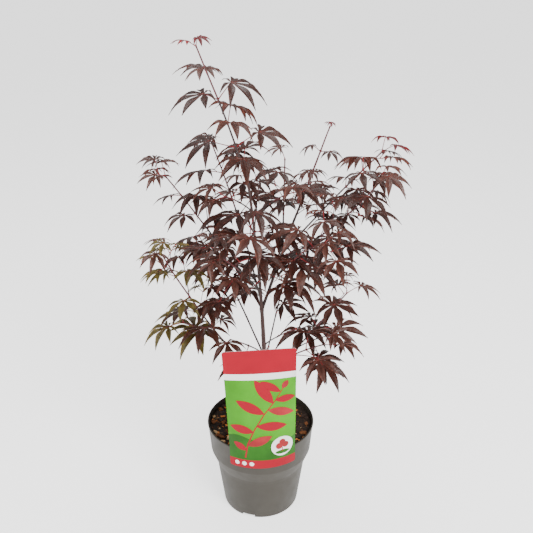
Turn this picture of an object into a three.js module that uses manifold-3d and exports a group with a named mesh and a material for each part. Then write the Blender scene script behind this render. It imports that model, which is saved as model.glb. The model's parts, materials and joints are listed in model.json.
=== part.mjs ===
// A potted Japanese maple: a young shrub with deeply cut leaves, in a round nursery pot with a card.
// Millimetres, +Z up. The origin is the middle of the pot's flat underside, and the front faces -Y.

import * as THREE from "three";
import { mergeVertices } from "three/addons/utils/BufferGeometryUtils.js";
import Module from "manifold-3d";

const wasm = await Module();
wasm.setup();

const { Vector3 } = THREE;
const UP = new Vector3(0, 0, 1);
const GAP = 0.3; // between pieces that touch

// The pot's outer radii, from the underside to the rim, and its heights
const POT = {
  height: 170,
  foot: 68,
  body: 79,
  neck: 80.4,
  bandFoot: 90,
  band: 94.2,
  rim: 95,
  bodyHeight: 85,
  neckHeight: 92,
  bandHeight: 117,
  lip: 3,
  wall: 1.8,
  floor: 2.4,
  corner: 1.8,
  sides: 32,
};
// The notches under the foot that let water out; the first is left of the front
const DRAIN = { count: 3, first: -109, width: 24, height: 6, depth: 14 };
const SOIL = { level: 162, edgeDrop: 2, flat: 45 };
// The card wraps the pot's rim at its foot and hangs by a tongue over it. Its top is straight, with
// its right side turned back by the twist.
const CARD = {
  width: 119,
  height: 235,
  foot: 136,
  thick: 0.8,
  clear: 0.5,
  shift: 2,
  tilt: 1.6,
  twist: 4,
  columns: 8,
  rows: 8,
};
const TONGUE = { width: 16, thick: 0.8, drop: 9 };

// The trunk's curve starts under the soil, leans to the left and bows a little to the right
const TRUNK = { foot: 9, root: 155, lean: -26, rise: 457, bow: 7, fork: 229, sides: 8, steps: 26 };
const TRUNK_RADIUS = {
  flare: 2.8,
  flareHeight: 9,
  foot: 4.6,
  fork: 3.2,
  leader: 2.4,
  tip: 1.4,
  forkLength: 14,
};

// A leaf has lobes at these turns from its middle one, each with a share of that one's length
const LOBES = [
  { turn: -125, share: 0.4 },
  { turn: -82, share: 0.74 },
  { turn: -41, share: 0.93 },
  { turn: 0, share: 1 },
  { turn: 41, share: 0.93 },
  { turn: 82, share: 0.74 },
  { turn: 125, share: 0.4 },
];
// Its outline, as shares of a lobe's length; lobes up to the plain share have no flanks
const LEAF = {
  widest: 0.52,
  halfWidth: 0.16,
  sinus: 0.27,
  heelTurn: 24,
  heel: 0.2,
  plainShare: 0.5,
  thick: 1.8,
};
const STALK = { share: 0.62, radius: 0.75, sunk: 1, room: 1 };
// Twigs are three-sided, so their corners stand further out by the stretch
const TWIG = {
  foot: 0.9,
  tip: 0.6,
  shortest: 26,
  longer: 30,
  bow: 0.04,
  lean: { ahead: 0.55, aside: 0.5, rise: 0.15 },
  firstPair: 0.95,
  sides: 3,
  stretch: 1.25,
  room: 0.8,
};
const BOUGH = { sides: 6, steps: 4 };
const FINEST = 0.05; // edges finer than this are smoothed away

// How a leaf grows from its stem: each spread is shared evenly about the plain value before it
const GROWTH = {
  lean: 0.75,
  endLean: 0.5,
  leanSpread: 0.35,
  rise: 0.12,
  shortest: 0.6,
  longer: 0.7,
  youngStalk: 0.7,
  headingSpread: 50,
  pitchSpread: 24,
  rollSpread: 30,
  turnSpread: 30,
  smallest: 0.8,
  larger: 0.4,
  droop: 6,
  curl: 0.08,
  curlier: 0.2,
};
const TRIES = 5; // a leaf that finds no room is turned and tried again, and then skipped
const LOWEST_LEAF = 178;
const FREE_FROM = 0.06; // the share of a limb that is let into its parent
const ROOM = 95; // how far a mass reaches past its stem's ends
// The gap in the leaves that shows the trunk's fork from the front, seen from a little above. Its
// heights are those at the trunk, and what lies further back, up to the depth, counts as higher.
const CLEARING = { low: 342, high: 404, left: -18, right: 19, depth: 150, rise: 0.467 };
// Which of a seed's numbers each choice takes
const DRAWS = { site: 48, attempt: 8, branches: 40, long: 41 };

// Limbs. Each leaves the trunk at a height over the floor, or another limb at a share of that one's
// length, is turned from +X towards +Y, and reaches out and up. It is bare for a share of its own
// length and then carries pairs of leaves: leaf is the middle lobe's length, and young how much
// smaller the last pair is.
const SHORT = {
  bow: 3, bare: 0, thick: 1.8, pairs: 2, first: 0.5, spread: 1.2, twiggy: 0, young: 0.15, leaf: 50,
};
const LONG = {
  ...SHORT, bow: 4, bare: 0.42, thick: 2.6, pairs: 4, first: 0.1, twiggy: 0.2, young: 0.3, leaf: 48,
};
const READ_LIMBS = [
  { ...LONG, name: "top", from: "trunk", at: 1, turn: 180, out: 75, up: 212,
    bow: 3, bare: 0, pairs: 6, first: 0.14, spread: 1.1, twiggy: 0, young: 0.6, leaf: 54 },
  { ...LONG, name: "left_mid", from: "trunk", height: 395, turn: 153, out: 180, up: 205,
    bow: 6, thick: 2.8, pairs: 5, leaf: 46 },
  { ...LONG, name: "left_low", from: "trunk", height: 240, turn: 195, out: 168, up: 274,
    bow: -9, bare: 0.45, thick: 2.8, pairs: 5, leaf: 45 },
  { ...LONG, name: "right_low", from: "trunk", height: 246, turn: 19, out: 150, up: 152,
    bow: 0, bare: 0.45, thick: 2.8, leaf: 50 },
  { ...LONG, name: "right_foot", from: "trunk", height: 262, turn: -30, out: 112, up: 95,
    bow: 8, bare: 0.5, thick: 2.4, pairs: 3, leaf: 54 },
  { ...SHORT, name: "foot_left", from: "trunk", height: 305, turn: 200, out: 60, up: 40 },
  { ...SHORT, name: "foot_front", from: "trunk", height: 300, turn: -80, out: 45, up: 45 },
  { ...SHORT, name: "foot_right", from: "trunk", height: 322, turn: -15, out: 55, up: 40 },
  { ...SHORT, name: "left_side", from: "left_low", at: 0.39, turn: 165, out: 70, up: 25 },
  { ...SHORT, name: "right_side", from: "right_low", at: 0.39, turn: -15, out: 60, up: 35 },
  { ...LONG, name: "right_main", from: "trunk", height: 391, turn: 39, out: 144, up: 290,
    bow: 2, bare: 0.62, thick: 4.6, twiggy: 0, young: 0.55, leaf: 24 },
  { ...LONG, name: "right_front", from: "right_main", at: 0.27, turn: -12, out: 158, up: 150,
    bow: -10, bare: 0.32, pairs: 5 },
  { ...LONG, name: "right_back", from: "right_main", at: 0.31, turn: 15, out: 168, up: 162,
    bow: 3, bare: 0.32, pairs: 5 },
  { ...LONG, name: "left_high", from: "trunk", height: 406, turn: 138, out: 106, up: 250,
    bow: 8, bare: 0.5, leaf: 52 },
  { ...SHORT, name: "spur_front", from: "trunk", height: 520, turn: -95, out: 70, up: 50, leaf: 64 },
  { ...SHORT, name: "fork_front", from: "trunk", height: 455, turn: -60, out: 70, up: 28, leaf: 64 },
  { ...SHORT, name: "fork_left", from: "trunk", height: 440, turn: -125, out: 75, up: 35, leaf: 58 },
  { ...LONG, name: "front_right", from: "right_main", at: 0.22, turn: -55, out: 125, up: 95,
    thick: 2.4, leaf: 54 },
  { ...LONG, name: "front_left", from: "trunk", height: 425, turn: -118, out: 120, up: 110,
    thick: 2.4, pairs: 3, leaf: 52 },
  { ...LONG, name: "right_steep", from: "right_main", at: 0.32, turn: 86, out: 60, up: 142,
    bow: 1, bare: 0.35, thick: 2.4 },
  { ...SHORT, name: "spur_left", from: "trunk", height: 568, turn: 215, out: 50, up: 35 },
  { ...SHORT, name: "spur_right", from: "trunk", height: 560, turn: -20, out: 60, up: 45 },
  { ...SHORT, name: "spur_back", from: "trunk", height: 535, turn: 85, out: 70, up: 50 },
  { ...SHORT, name: "fork_back", from: "trunk", height: 450, turn: 40, out: 80, up: 30, leaf: 54 },
  { ...LONG, name: "rear_high", from: "trunk", height: 422, turn: 100, out: 150, up: 165, bow: 6 },
  { ...LONG, name: "rear_right", from: "right_main", at: 0.2, turn: 66, out: 150, up: 110 },
  { ...LONG, name: "rear_left", from: "trunk", height: 298, turn: 130, out: 145, up: 160, bare: 0.45 },
  { ...LONG, name: "rear_low", from: "trunk", height: 284, turn: 72, out: 135, up: 125,
    bare: 0.45, thick: 2.4, pairs: 3 },
];
// Each limb's own numbers follow its place in the list, and its leaf stalks are a share of its leaves' length
const SEED = { first: 36, step: 37, spin: 15 };
const LIMBS = READ_LIMBS.map((row, i) => ({
  ...row,
  at: row.at ?? (row.height - TRUNK.root) / TRUNK.rise,
  stalk: STALK.share * row.leaf,
  spin: SEED.spin * i,
  seed: SEED.first + SEED.step * i,
}));

const COLOURS = {
  pot: { color: 0x6b645a, roughness: 0.6 },
  soil: { color: 0x2e1d12, roughness: 1 },
  card: { color: 0xc4183c, roughness: 0.35 },
  bark: { color: 0x5a463c, roughness: 0.85 },
  leaves: { color: 0x4a2228, roughness: 0.6 },
  oliveLeaves: { color: 0x4c4a20, roughness: 0.6 },
};
const OLIVE = ["left_low", "left_side"];

const radians = THREE.MathUtils.degToRad;
const mix = THREE.MathUtils.lerp;

// Solids and their nodes

function solidOf(geometry) {
  geometry.deleteAttribute("normal");
  geometry.deleteAttribute("uv");
  const merged = mergeVertices(geometry);
  const vertProperties = merged.attributes.position.array;
  const triVerts = new Uint32Array(merged.index.array);
  return new wasm.Manifold(new wasm.Mesh({ numProp: 3, vertProperties, triVerts }));
}

// The largest piece of a solid: what a cut leaves behind of the rest is dropped.
function mainPiece(solid) {
  return solid.decompose().reduce((a, b) => (b.volume() > a.volume() ? b : a));
}

const part = new THREE.Group();

function addNode(name, solid, look) {
  const { vertProperties, triVerts } = solid.getMesh();
  const geometry = new THREE.BufferGeometry();
  geometry.setAttribute("position", new THREE.BufferAttribute(vertProperties, 3));
  geometry.setIndex(new THREE.BufferAttribute(triVerts, 1));
  geometry.computeVertexNormals();
  const mesh = new THREE.Mesh(geometry, new THREE.MeshStandardMaterial(COLOURS[look]));
  mesh.name = name;
  part.add(mesh);
}

function polyhedron(points, faces) {
  const geometry = new THREE.BufferGeometry().setFromPoints(points);
  geometry.setIndex(faces.flat());
  return solidOf(geometry);
}

// Pot, soil and card

const outerWall = [
  [POT.foot - POT.corner, 0],
  [POT.foot, POT.corner],
  [POT.body, POT.bodyHeight],
  [POT.neck, POT.neckHeight],
  [POT.bandFoot, POT.bandHeight],
  [POT.band, POT.height - POT.lip],
];
const innerWall = [
  [POT.foot - POT.wall, POT.floor],
  [POT.body - POT.wall, POT.bodyHeight],
  [POT.neck - POT.wall, POT.neckHeight],
  [POT.bandFoot - POT.wall, POT.bandHeight],
  [POT.band - POT.wall, POT.height],
];

function lathe(profile) {
  const points = profile.map(([radius, height]) => new THREE.Vector2(radius, height));
  const turned = new THREE.LatheGeometry(points, POT.sides);
  return solidOf(turned.rotateX(Math.PI / 2));
}

function makePot() {
  const rim = [
    [POT.rim, POT.height - POT.lip],
    [POT.rim, POT.height],
  ];
  const shell = lathe([[0, 0], ...outerWall, ...rim, ...innerWall.toReversed(), [0, POT.floor]]);
  const notches = Array.from({ length: DRAIN.count }, (_, i) => {
    const notch = new THREE.BoxGeometry(DRAIN.depth, DRAIN.width, 2 * DRAIN.height);
    notch.translate(POT.foot + POT.corner - DRAIN.depth / 2, 0, 0);
    return solidOf(notch.rotateZ(radians(DRAIN.first + (360 * i) / DRAIN.count)));
  });
  return shell.subtract(wasm.Manifold.union(notches));
}

// The pot's inner radius at a height inside its rim band.
function bandRadius(height) {
  const share = (height - POT.bandHeight) / (POT.height - POT.bandHeight);
  return mix(POT.bandFoot, POT.band, share) - POT.wall;
}

function makeSoil() {
  const wall = innerWall.slice(0, 4).map(([radius, height]) => [radius - GAP, height + GAP]);
  const edge = SOIL.level - SOIL.edgeDrop;
  const top = [
    [bandRadius(edge) - GAP, edge],
    [SOIL.flat, SOIL.level],
    [0, SOIL.level],
  ];
  return lathe([[0, wall[0][1]], ...wall, ...top]);
}

// Where a point of the flat card comes to lie, from how far it is along the rim and how high.
function onCard(along, height) {
  const radius = POT.rim + CARD.clear + CARD.thick / 2;
  const above = (height - POT.height) / (CARD.foot + CARD.height - POT.height);
  const straight = THREE.MathUtils.clamp(above, 0, 1);
  const x = mix(radius * Math.sin(along / radius), along, straight);
  const wrapped = Math.sqrt(radius * radius - x * x);
  return new Vector3(x, -mix(wrapped, radius - x * Math.tan(radians(CARD.twist)), straight), height);
}

function makeCard() {
  const sheet = new THREE.BoxGeometry(CARD.width, CARD.thick, CARD.height, CARD.columns, 1, CARD.rows);
  sheet.rotateY(-radians(CARD.tilt)).translate(CARD.shift, 0, CARD.foot + CARD.height / 2);
  const at = sheet.attributes.position;
  for (let i = 0; i < at.count; i++) {
    const place = onCard(at.getX(i), at.getZ(i));
    at.setXY(i, place.x, place.y + at.getY(i));
  }
  return solidOf(sheet).add(makeTongue());
}

// A hook in side view: from the card over the rim and down inside the pot.
function makeTongue() {
  const front = -POT.rim - CARD.clear - CARD.thick / 2;
  const tip = POT.height - TONGUE.drop;
  const back = -Math.sqrt(bandRadius(tip) ** 2 - (TONGUE.width / 2) ** 2) + 2 * GAP;
  const under = POT.height + GAP;
  const outline = [
    [front, under],
    [back, under],
    [back, tip],
    [back + TONGUE.thick, tip],
    [back + TONGUE.thick, under + TONGUE.thick],
    [front, under + TONGUE.thick],
  ];
  const shape = new THREE.Shape(outline.map(([y, z]) => new THREE.Vector2(y, z)));
  const hook = new THREE.ExtrudeGeometry(shape, { depth: TONGUE.width, bevelEnabled: false });
  hook.translate(0, 0, -TONGUE.width / 2);
  hook.applyMatrix4(new THREE.Matrix4().makeBasis(new Vector3(0, 1, 0), UP, new Vector3(1, 0, 0)));
  return solidOf(hook);
}

// Limbs: a parabola from base to tip, whose middle rises off the straight line by the bow

class Limb {
  constructor(base, tip, bow) {
    this.base = base;
    this.line = tip.clone().sub(base);
    const flat = Math.hypot(this.line.x, this.line.y);
    const rise = new Vector3((-this.line.x * this.line.z) / flat, (-this.line.y * this.line.z) / flat, flat);
    this.sag = rise.normalize().multiplyScalar(bow);
  }
  length() {
    return this.line.length();
  }
  at(t) {
    return this.base.clone().addScaledVector(this.line, t).addScaledVector(this.sag, 4 * t * (1 - t));
  }
  direction(t) {
    return this.line.clone().addScaledVector(this.sag, 4 - 8 * t).normalize();
  }
}

// A solid tube along a limb, between two shares of its length. radiusAt gives its radius there.
function tube(limb, from, to, radiusAt, sides, steps, across = UP) {
  const points = [];
  const faces = [];
  for (let i = 0; i <= steps; i++) {
    const t = mix(from, to, i / steps);
    const along = limb.direction(t);
    const u = along.clone().cross(across).normalize();
    const v = along.clone().cross(u);
    for (let j = 0; j < sides; j++) {
      const turn = (2 * Math.PI * j) / sides;
      const out = u.clone().multiplyScalar(Math.cos(turn)).addScaledVector(v, Math.sin(turn));
      points.push(limb.at(t).addScaledVector(out, radiusAt(t)));
    }
  }
  const corner = (i, j) => i * sides + (j % sides);
  for (let i = 0; i < steps; i++) {
    for (let j = 0; j < sides; j++) {
      faces.push([corner(i, j), corner(i, j + 1), corner(i + 1, j)]);
      faces.push([corner(i, j + 1), corner(i + 1, j + 1), corner(i + 1, j)]);
    }
  }
  for (let j = 1; j < sides - 1; j++) {
    faces.push([corner(0, 0), corner(0, j + 1), corner(0, j)]);
    faces.push([corner(steps, 0), corner(steps, j), corner(steps, j + 1)]);
  }
  return polyhedron(points, faces);
}

const TRUNK_HEIGHT = TRUNK.root + TRUNK.rise - SOIL.level;

function trunkRadius(t) {
  const height = TRUNK_HEIGHT - (1 - t) * TRUNK.rise;
  const flare = TRUNK_RADIUS.flare * Math.exp(-height / TRUNK_RADIUS.flareHeight);
  const { foot, fork, leader, tip, forkLength } = TRUNK_RADIUS;
  const past = height - TRUNK.fork;
  if (past < 0) return flare + mix(foot, fork, height / TRUNK.fork);
  return mix(fork, mix(leader, tip, past / (TRUNK_HEIGHT - TRUNK.fork)), Math.min(past / forkLength, 1));
}

const limbRadius = (row) => (t) => mix(row.thick / 2, TWIG.tip, t);

// What is already placed, as points with a half width, and for blades the way that they face

const TAKEN = { margin: 3.5, bladeGap: 3.2, rodGap: 1.9, reach: 7, step: 6, cardColumns: 13, cardRows: 24 };
class Taken {
  points = [];
  add(at, halfWidth, facing, owner) {
    this.points.push({ at, halfWidth, facing, owner });
  }
  // A blade is refused where it comes within this of another blade or of a rod's surface.
  bladeHits(blade) {
    return this.points.some((other) =>
      blade.some(({ at, halfWidth, facing }) => {
        const apart = other.at.clone().sub(at);
        if (apart.length() >= halfWidth + other.halfWidth + TAKEN.margin) return false;
        const above = Math.abs(apart.dot(facing));
        if (!other.facing) return above < TAKEN.bladeGap + other.halfWidth;
        const tilt = Math.sqrt(Math.max(0, 1 - facing.dot(other.facing) ** 2));
        const reach = Math.max(halfWidth, other.halfWidth, TAKEN.reach);
        return Math.min(above, Math.abs(apart.dot(other.facing))) < TAKEN.bladeGap + tilt * reach;
      }),
    );
  }
  // A rod is refused where it comes near anything of another mass.
  rodHits(rod, radius, owner) {
    return this.points.some((other) =>
      rod.some((at) => {
        if (other.owner === owner) return false;
        const apart = other.at.clone().sub(at);
        if (apart.length() >= radius + other.halfWidth + TAKEN.margin) return false;
        return !other.facing || Math.abs(apart.dot(other.facing)) < TAKEN.rodGap + radius;
      }),
    );
  }
}

const taken = new Taken();

function takeLimb(limb, radius, from, owner) {
  const count = Math.max(4, Math.trunc((limb.length() * (1 - from)) / TAKEN.step));
  for (let i = 0; i < count; i++) {
    const t = mix(from, 1, i / (count - 1));
    taken.add(limb.at(t), mix(radius, TWIG.tip, t), null, owner);
  }
}

// The card keeps leaves off by a sheet of points in its middle.
function takeCard() {
  for (let i = 0; i < TAKEN.cardColumns; i++) {
    for (let j = 0; j < TAKEN.cardRows; j++) {
      const along = CARD.width * (i / (TAKEN.cardColumns - 1) - 0.5) + CARD.shift;
      const height = CARD.foot + (CARD.height * j) / (TAKEN.cardRows - 1);
      taken.add(onCard(along, height), TAKEN.step, null, "card");
    }
  }
}

// Leaves

// The same share between 0 and 1 for the same seed and number.
function noise(seed, number) {
  const wave = Math.sin(seed * 12.9898 + number * 78.233) * 43758.5453;
  return wave - Math.floor(wave);
}

// A point of the blade: out along a lobe, to its side, and drooping with the square of its reach.
function bladePoint(leaf, turn, out, side = 0) {
  const across = leaf.normal.clone().cross(leaf.axis);
  const [c, s] = [Math.cos(radians(turn)), Math.sin(radians(turn))];
  return leaf.hub
    .clone()
    .addScaledVector(leaf.axis, c * out - s * side)
    .addScaledVector(across, s * out + c * side)
    .addScaledVector(leaf.normal, (-leaf.curl * (out * out + side * side)) / leaf.size);
}

function bladeOutline(leaf) {
  const heel = (lobe, side) =>
    bladePoint(leaf, lobe.turn + side * LEAF.heelTurn, LEAF.heel * lobe.share * leaf.size);
  const points = [heel(LOBES[0], -1)];
  LOBES.forEach((lobe, i) => {
    const long = lobe.share * leaf.size;
    const flank = (side) => bladePoint(leaf, lobe.turn, LEAF.widest * long, side * LEAF.halfWidth * long);
    const tip = bladePoint(leaf, lobe.turn, long);
    points.push(...(lobe.share < LEAF.plainShare ? [tip] : [flank(-1), tip, flank(1)]));
    const next = LOBES[i + 1];
    if (!next) return;
    const sinus = LEAF.sinus * Math.min(lobe.share, next.share) * leaf.size;
    points.push(bladePoint(leaf, (lobe.turn + next.turn) / 2, sinus));
  });
  return [...points, heel(LOBES.at(-1), 1)];
}

// A lens over the leaf's outline, thickest at the hub where the lobes meet, and open at its heel,
// where a four-sided stalk runs back to its root inside the stem.
function leafSolid(leaf) {
  const outline = bladeOutline(leaf);
  const root = leaf.foot.clone().addScaledVector(leaf.along, -STALK.sunk);
  const back = leaf.hub.clone().sub(root).normalize();
  const across = leaf.normal.clone().cross(leaf.axis);
  across.addScaledVector(back, -across.dot(back)).setLength(STALK.radius);
  const above = back.clone().cross(across);
  const half = leaf.normal.clone().multiplyScalar(LEAF.thick / 2);
  const points = [
    leaf.hub.clone().add(half),
    leaf.hub.clone().sub(half),
    root.clone().add(above),
    root.clone().sub(across),
    root.clone().sub(above),
    root.clone().add(across),
    ...outline,
  ];
  const [top, bottom, rootTop, rootRight, rootBottom, rootLeft, right] = points.keys();
  const left = points.length - 1;
  const faces = [];
  for (let i = right; i < left; i++) {
    faces.push([top, i, i + 1], [bottom, i + 1, i]);
  }
  const hubRing = [top, right, bottom, left];
  const rootRing = [rootTop, rootRight, rootBottom, rootLeft];
  for (let i = 0; i < 4; i++) {
    const next = (i + 1) % 4;
    faces.push([hubRing[i], rootRing[i], hubRing[next]], [rootRing[i], rootRing[next], hubRing[next]]);
  }
  faces.push([rootTop, rootLeft, rootBottom], [rootTop, rootBottom, rootRight]);
  return polyhedron(points, faces);
}

// The way that a drooping blade faces at a point of it.
function facingAt(leaf, at) {
  const reach = at.clone().sub(leaf.hub).projectOnPlane(leaf.normal);
  return leaf.normal.clone().addScaledVector(reach, (2 * leaf.curl) / leaf.size).normalize();
}

// The points that stand for a blade: along each lobe, with the lobe's half width there.
const LOBE_WIDTHS = [
  [0.22, 0.1],
  [0.5, 0.165],
  [0.78, 0.095],
  [1, 0.01],
];
const HUB_WIDTH = 0.2;

function bladeSamples(leaf) {
  const hub = { at: leaf.hub, halfWidth: HUB_WIDTH * leaf.size, facing: leaf.normal };
  const lobes = LOBES.flatMap(({ turn, share }) =>
    LOBE_WIDTHS.map(([out, width]) => {
      const long = share * leaf.size;
      const at = bladePoint(leaf, turn, out * long);
      return { at, halfWidth: Math.max(width * long, 1), facing: facingAt(leaf, at) };
    }),
  );
  return [...lobes, hub];
}

function inClearing(at) {
  const { low, high, left, right, depth, rise } = CLEARING;
  const seen = at.z + rise * at.y;
  return seen > low && seen < high && at.x > left && at.x < right && Math.abs(at.y) < depth;
}

// Where along a stalk or a twig its points lie
const ROD_SHARES = [0.12, 0.32, 0.52, 0.72, 0.9];

// Growth: pairs of leaves along a stem, each pair turned from the last, some leaves grown to twigs

function sideways(along, turn) {
  const flat = along.clone().cross(UP).normalize();
  const up = flat.clone().cross(along);
  return flat.multiplyScalar(Math.cos(radians(turn))).addScaledVector(up, Math.sin(radians(turn)));
}

// A leaf at one place of its stem, turned and sized by the numbers that draw gives.
function tryLeaf(row, stem, site, draw, turnSpread) {
  const along = stem.direction(site.t);
  const foot = stem.at(site.t);
  const evenly = (number, spread) => (draw(number) - 0.5) * spread;
  const side = sideways(along, site.turn + evenly(0, turnSpread));
  const lean = (site.ending ? GROWTH.endLean : GROWTH.lean) + evenly(7, GROWTH.leanSpread);
  const out = along.clone().multiplyScalar(1 - lean).addScaledVector(side, lean);
  out.addScaledVector(UP, GROWTH.rise).normalize();
  const shrunk = row.stalk * (1 - GROWTH.youngStalk * site.young);
  const stalk = shrunk * (GROWTH.shortest + GROWTH.longer * draw(1));
  const heading = Math.atan2(out.y, out.x) + radians(evenly(6, GROWTH.headingSpread));
  const pitch = radians(evenly(3, GROWTH.pitchSpread) - GROWTH.droop);
  const flat = Math.cos(pitch);
  const axis = new Vector3(Math.cos(heading) * flat, Math.sin(heading) * flat, Math.sin(pitch));
  const level = UP.clone().cross(axis).normalize();
  const roll = radians(evenly(4, GROWTH.rollSpread));
  return {
    foot,
    along,
    hub: foot.clone().addScaledVector(out, stalk),
    axis,
    normal: axis.clone().cross(level).multiplyScalar(Math.cos(roll)).addScaledVector(level, Math.sin(roll)),
    size: row.leaf * (GROWTH.smallest + GROWTH.larger * draw(2)) * (1 - site.young),
    curl: GROWTH.curl + GROWTH.curlier * draw(5),
  };
}

// The leaves and twigs of one limb, which keep clear of all that is taken.
function growMass(row, stem) {
  const leaves = [];
  const twigs = [];
  const room = stem.length() / 2 + ROOM;
  const middle = stem.at(0.5);
  let sites = 0;

  function growLeaf(path, site) {
    for (let attempt = 0; attempt < TRIES; attempt++) {
      const draw = (i) => noise(row.seed, site.number + attempt * DRAWS.attempt + i);
      const leaf = tryLeaf(row, path, site, draw, GROWTH.turnSpread * (1 + attempt));
      const blade = bladeSamples(leaf);
      const inside = blade.every(
        ({ at }) => at.z >= LOWEST_LEAF && at.distanceTo(middle) <= room && !inClearing(at),
      );
      if (!inside || taken.bladeHits(blade)) continue;
      const stalk = ROD_SHARES.map((share) => leaf.foot.clone().lerp(leaf.hub, share));
      if (taken.rodHits(stalk, STALK.room, row.name)) continue;
      blade.forEach(({ at, halfWidth, facing }) => taken.add(at, halfWidth, facing, row.name));
      stalk.forEach((at) => taken.add(at, STALK.room, null, row.name));
      leaves.push(leaf);
      return;
    }
  }

  function growTwig(path, site) {
    const along = path.direction(site.t);
    const out = along.clone().multiplyScalar(TWIG.lean.ahead);
    out.addScaledVector(sideways(along, site.turn), TWIG.lean.aside).addScaledVector(UP, TWIG.lean.rise);
    const long = TWIG.shortest + TWIG.longer * noise(row.seed, site.number + DRAWS.long);
    const base = path.at(site.t);
    const twig = new Limb(base, base.clone().addScaledVector(out.normalize(), long), long * TWIG.bow);
    const rod = ROD_SHARES.map((share) => twig.at(share));
    if (rod.some((at) => at.z <= LOWEST_LEAF) || taken.rodHits(rod, TWIG.room, row.name)) return false;
    rod.forEach((at) => taken.add(at, TWIG.room, null, row.name));
    twigs.push(twig);
    growPairs(twig, TWIG.firstPair, 1, 1);
    return true;
  }

  function growPairs(path, first, pairs, level) {
    for (let k = 0; k < pairs; k++) {
      const share = pairs > 1 ? k / (pairs - 1) : 1;
      const ending = k === pairs - 1;
      for (const half of [0, 180]) {
        const site = {
          t: mix(first, 1, share ** row.spread),
          turn: row.spin + 90 * (k + level) + half,
          young: row.young * (level === 0 ? share ** 4 : 0.5),
          ending,
          number: DRAWS.site * sites++,
        };
        const branches = noise(row.seed, site.number + DRAWS.branches) < row.twiggy;
        if (level === 0 && !ending && branches && growTwig(path, site)) continue;
        growLeaf(path, site);
      }
    }
  }

  growPairs(stem, mix(row.bare, 1, row.first), row.pairs, 0);
  return { leaves, twigs };
}

// Assembly

const trunkFoot = new Vector3(TRUNK.foot, 0, SOIL.level + GAP);
const trunk = new Limb(
  new Vector3(TRUNK.foot, 0, TRUNK.root),
  new Vector3(TRUNK.foot + TRUNK.lean, 0, TRUNK.root + TRUNK.rise),
  TRUNK.bow,
);
const limbs = { trunk };
const clearance = {};

function makeTrunk() {
  const across = new Vector3(0, 1, 0);
  const foot = (trunkFoot.z - TRUNK.root) / TRUNK.rise;
  const solid = (grown) => {
    const radius = (t) => trunkRadius(t) + grown;
    return tube(trunk, foot, 1, radius, TRUNK.sides, TRUNK.steps, across);
  };
  clearance.trunk = solid(GAP);
  addNode("trunk", solid(0), "bark");
}

function placeLimb(row) {
  const base = limbs[row.from].at(row.at);
  const turn = radians(row.turn);
  const reach = new Vector3(row.out * Math.cos(turn), row.out * Math.sin(turn), row.up);
  return new Limb(base, base.clone().add(reach), row.bow);
}

function makeBough(row, limb) {
  const radius = limbRadius(row);
  const solid = (grown) => tube(limb, 0, row.bare, (t) => radius(t) + grown, BOUGH.sides, BOUGH.steps);
  clearance[row.name] = solid(GAP);
  addNode(`bough_${row.name}`, mainPiece(solid(0).subtract(clearance[row.from])), "bark");
}

function makeMass(row, limb) {
  const start = row.bare + (row.bare || row.at === 1 ? GAP / limb.length() : 0);
  const stemRadius = (t) => TWIG.stretch * limbRadius(row)(t);
  const stem = tube(limb, start, 1, stemRadius, TWIG.sides, row.pairs + 1);
  const { leaves, twigs } = growMass(row, limb);
  const twigRadius = (t) => TWIG.stretch * mix(TWIG.foot, TWIG.tip, t);
  const pieces = [
    stem,
    ...twigs.map((twig) => tube(twig, 0, 1, twigRadius, TWIG.sides, 2)),
    ...leaves.map(leafSolid),
  ];
  const mass = wasm.Manifold.union(pieces);
  const cut = row.bare ? mass : mass.subtract(clearance[row.from]);
  const look = OLIVE.includes(row.name) ? "oliveLeaves" : "leaves";
  addNode(`leaves_${row.name}`, mainPiece(cut.asOriginal().simplify(FINEST)), look);
}

addNode("pot", makePot(), "pot");
addNode("soil", makeSoil(), "soil");
addNode("plant_card", makeCard(), "card");
makeTrunk();
takeLimb(trunk, TRUNK_RADIUS.foot, 0, "trunk");
takeCard();
for (const row of LIMBS) {
  const limb = placeLimb(row);
  limbs[row.name] = limb;
  takeLimb(limb, row.thick / 2, FREE_FROM, row.name);
  if (row.bare) makeBough(row, limb);
  makeMass(row, limb);
}

export default part;
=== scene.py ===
"""Looks of the potted maple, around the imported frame. Sizes are in millimetres until a mesh is made."""

import json
import math
from collections import Counter
from types import SimpleNamespace as Named

import bmesh
import bpy
import numpy as np
from mathutils import Matrix, Vector

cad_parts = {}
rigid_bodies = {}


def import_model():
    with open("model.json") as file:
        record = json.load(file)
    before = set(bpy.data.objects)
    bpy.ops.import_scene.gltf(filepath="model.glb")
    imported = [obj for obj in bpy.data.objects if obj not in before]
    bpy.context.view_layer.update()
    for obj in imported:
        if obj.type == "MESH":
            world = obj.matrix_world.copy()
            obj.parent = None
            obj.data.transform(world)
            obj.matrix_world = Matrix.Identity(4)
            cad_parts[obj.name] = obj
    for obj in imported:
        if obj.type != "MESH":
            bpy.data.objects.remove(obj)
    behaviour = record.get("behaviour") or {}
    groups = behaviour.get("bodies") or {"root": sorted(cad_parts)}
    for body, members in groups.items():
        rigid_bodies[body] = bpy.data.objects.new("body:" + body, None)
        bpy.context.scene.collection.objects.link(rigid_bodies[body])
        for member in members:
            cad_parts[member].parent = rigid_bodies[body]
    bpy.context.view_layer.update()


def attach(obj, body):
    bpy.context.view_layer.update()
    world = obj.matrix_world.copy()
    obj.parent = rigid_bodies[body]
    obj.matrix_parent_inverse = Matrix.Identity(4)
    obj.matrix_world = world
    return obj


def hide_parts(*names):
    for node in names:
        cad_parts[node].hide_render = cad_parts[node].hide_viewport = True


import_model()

MM = 0.001
UP = np.array([0.0, 0.0, 1.0])

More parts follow.
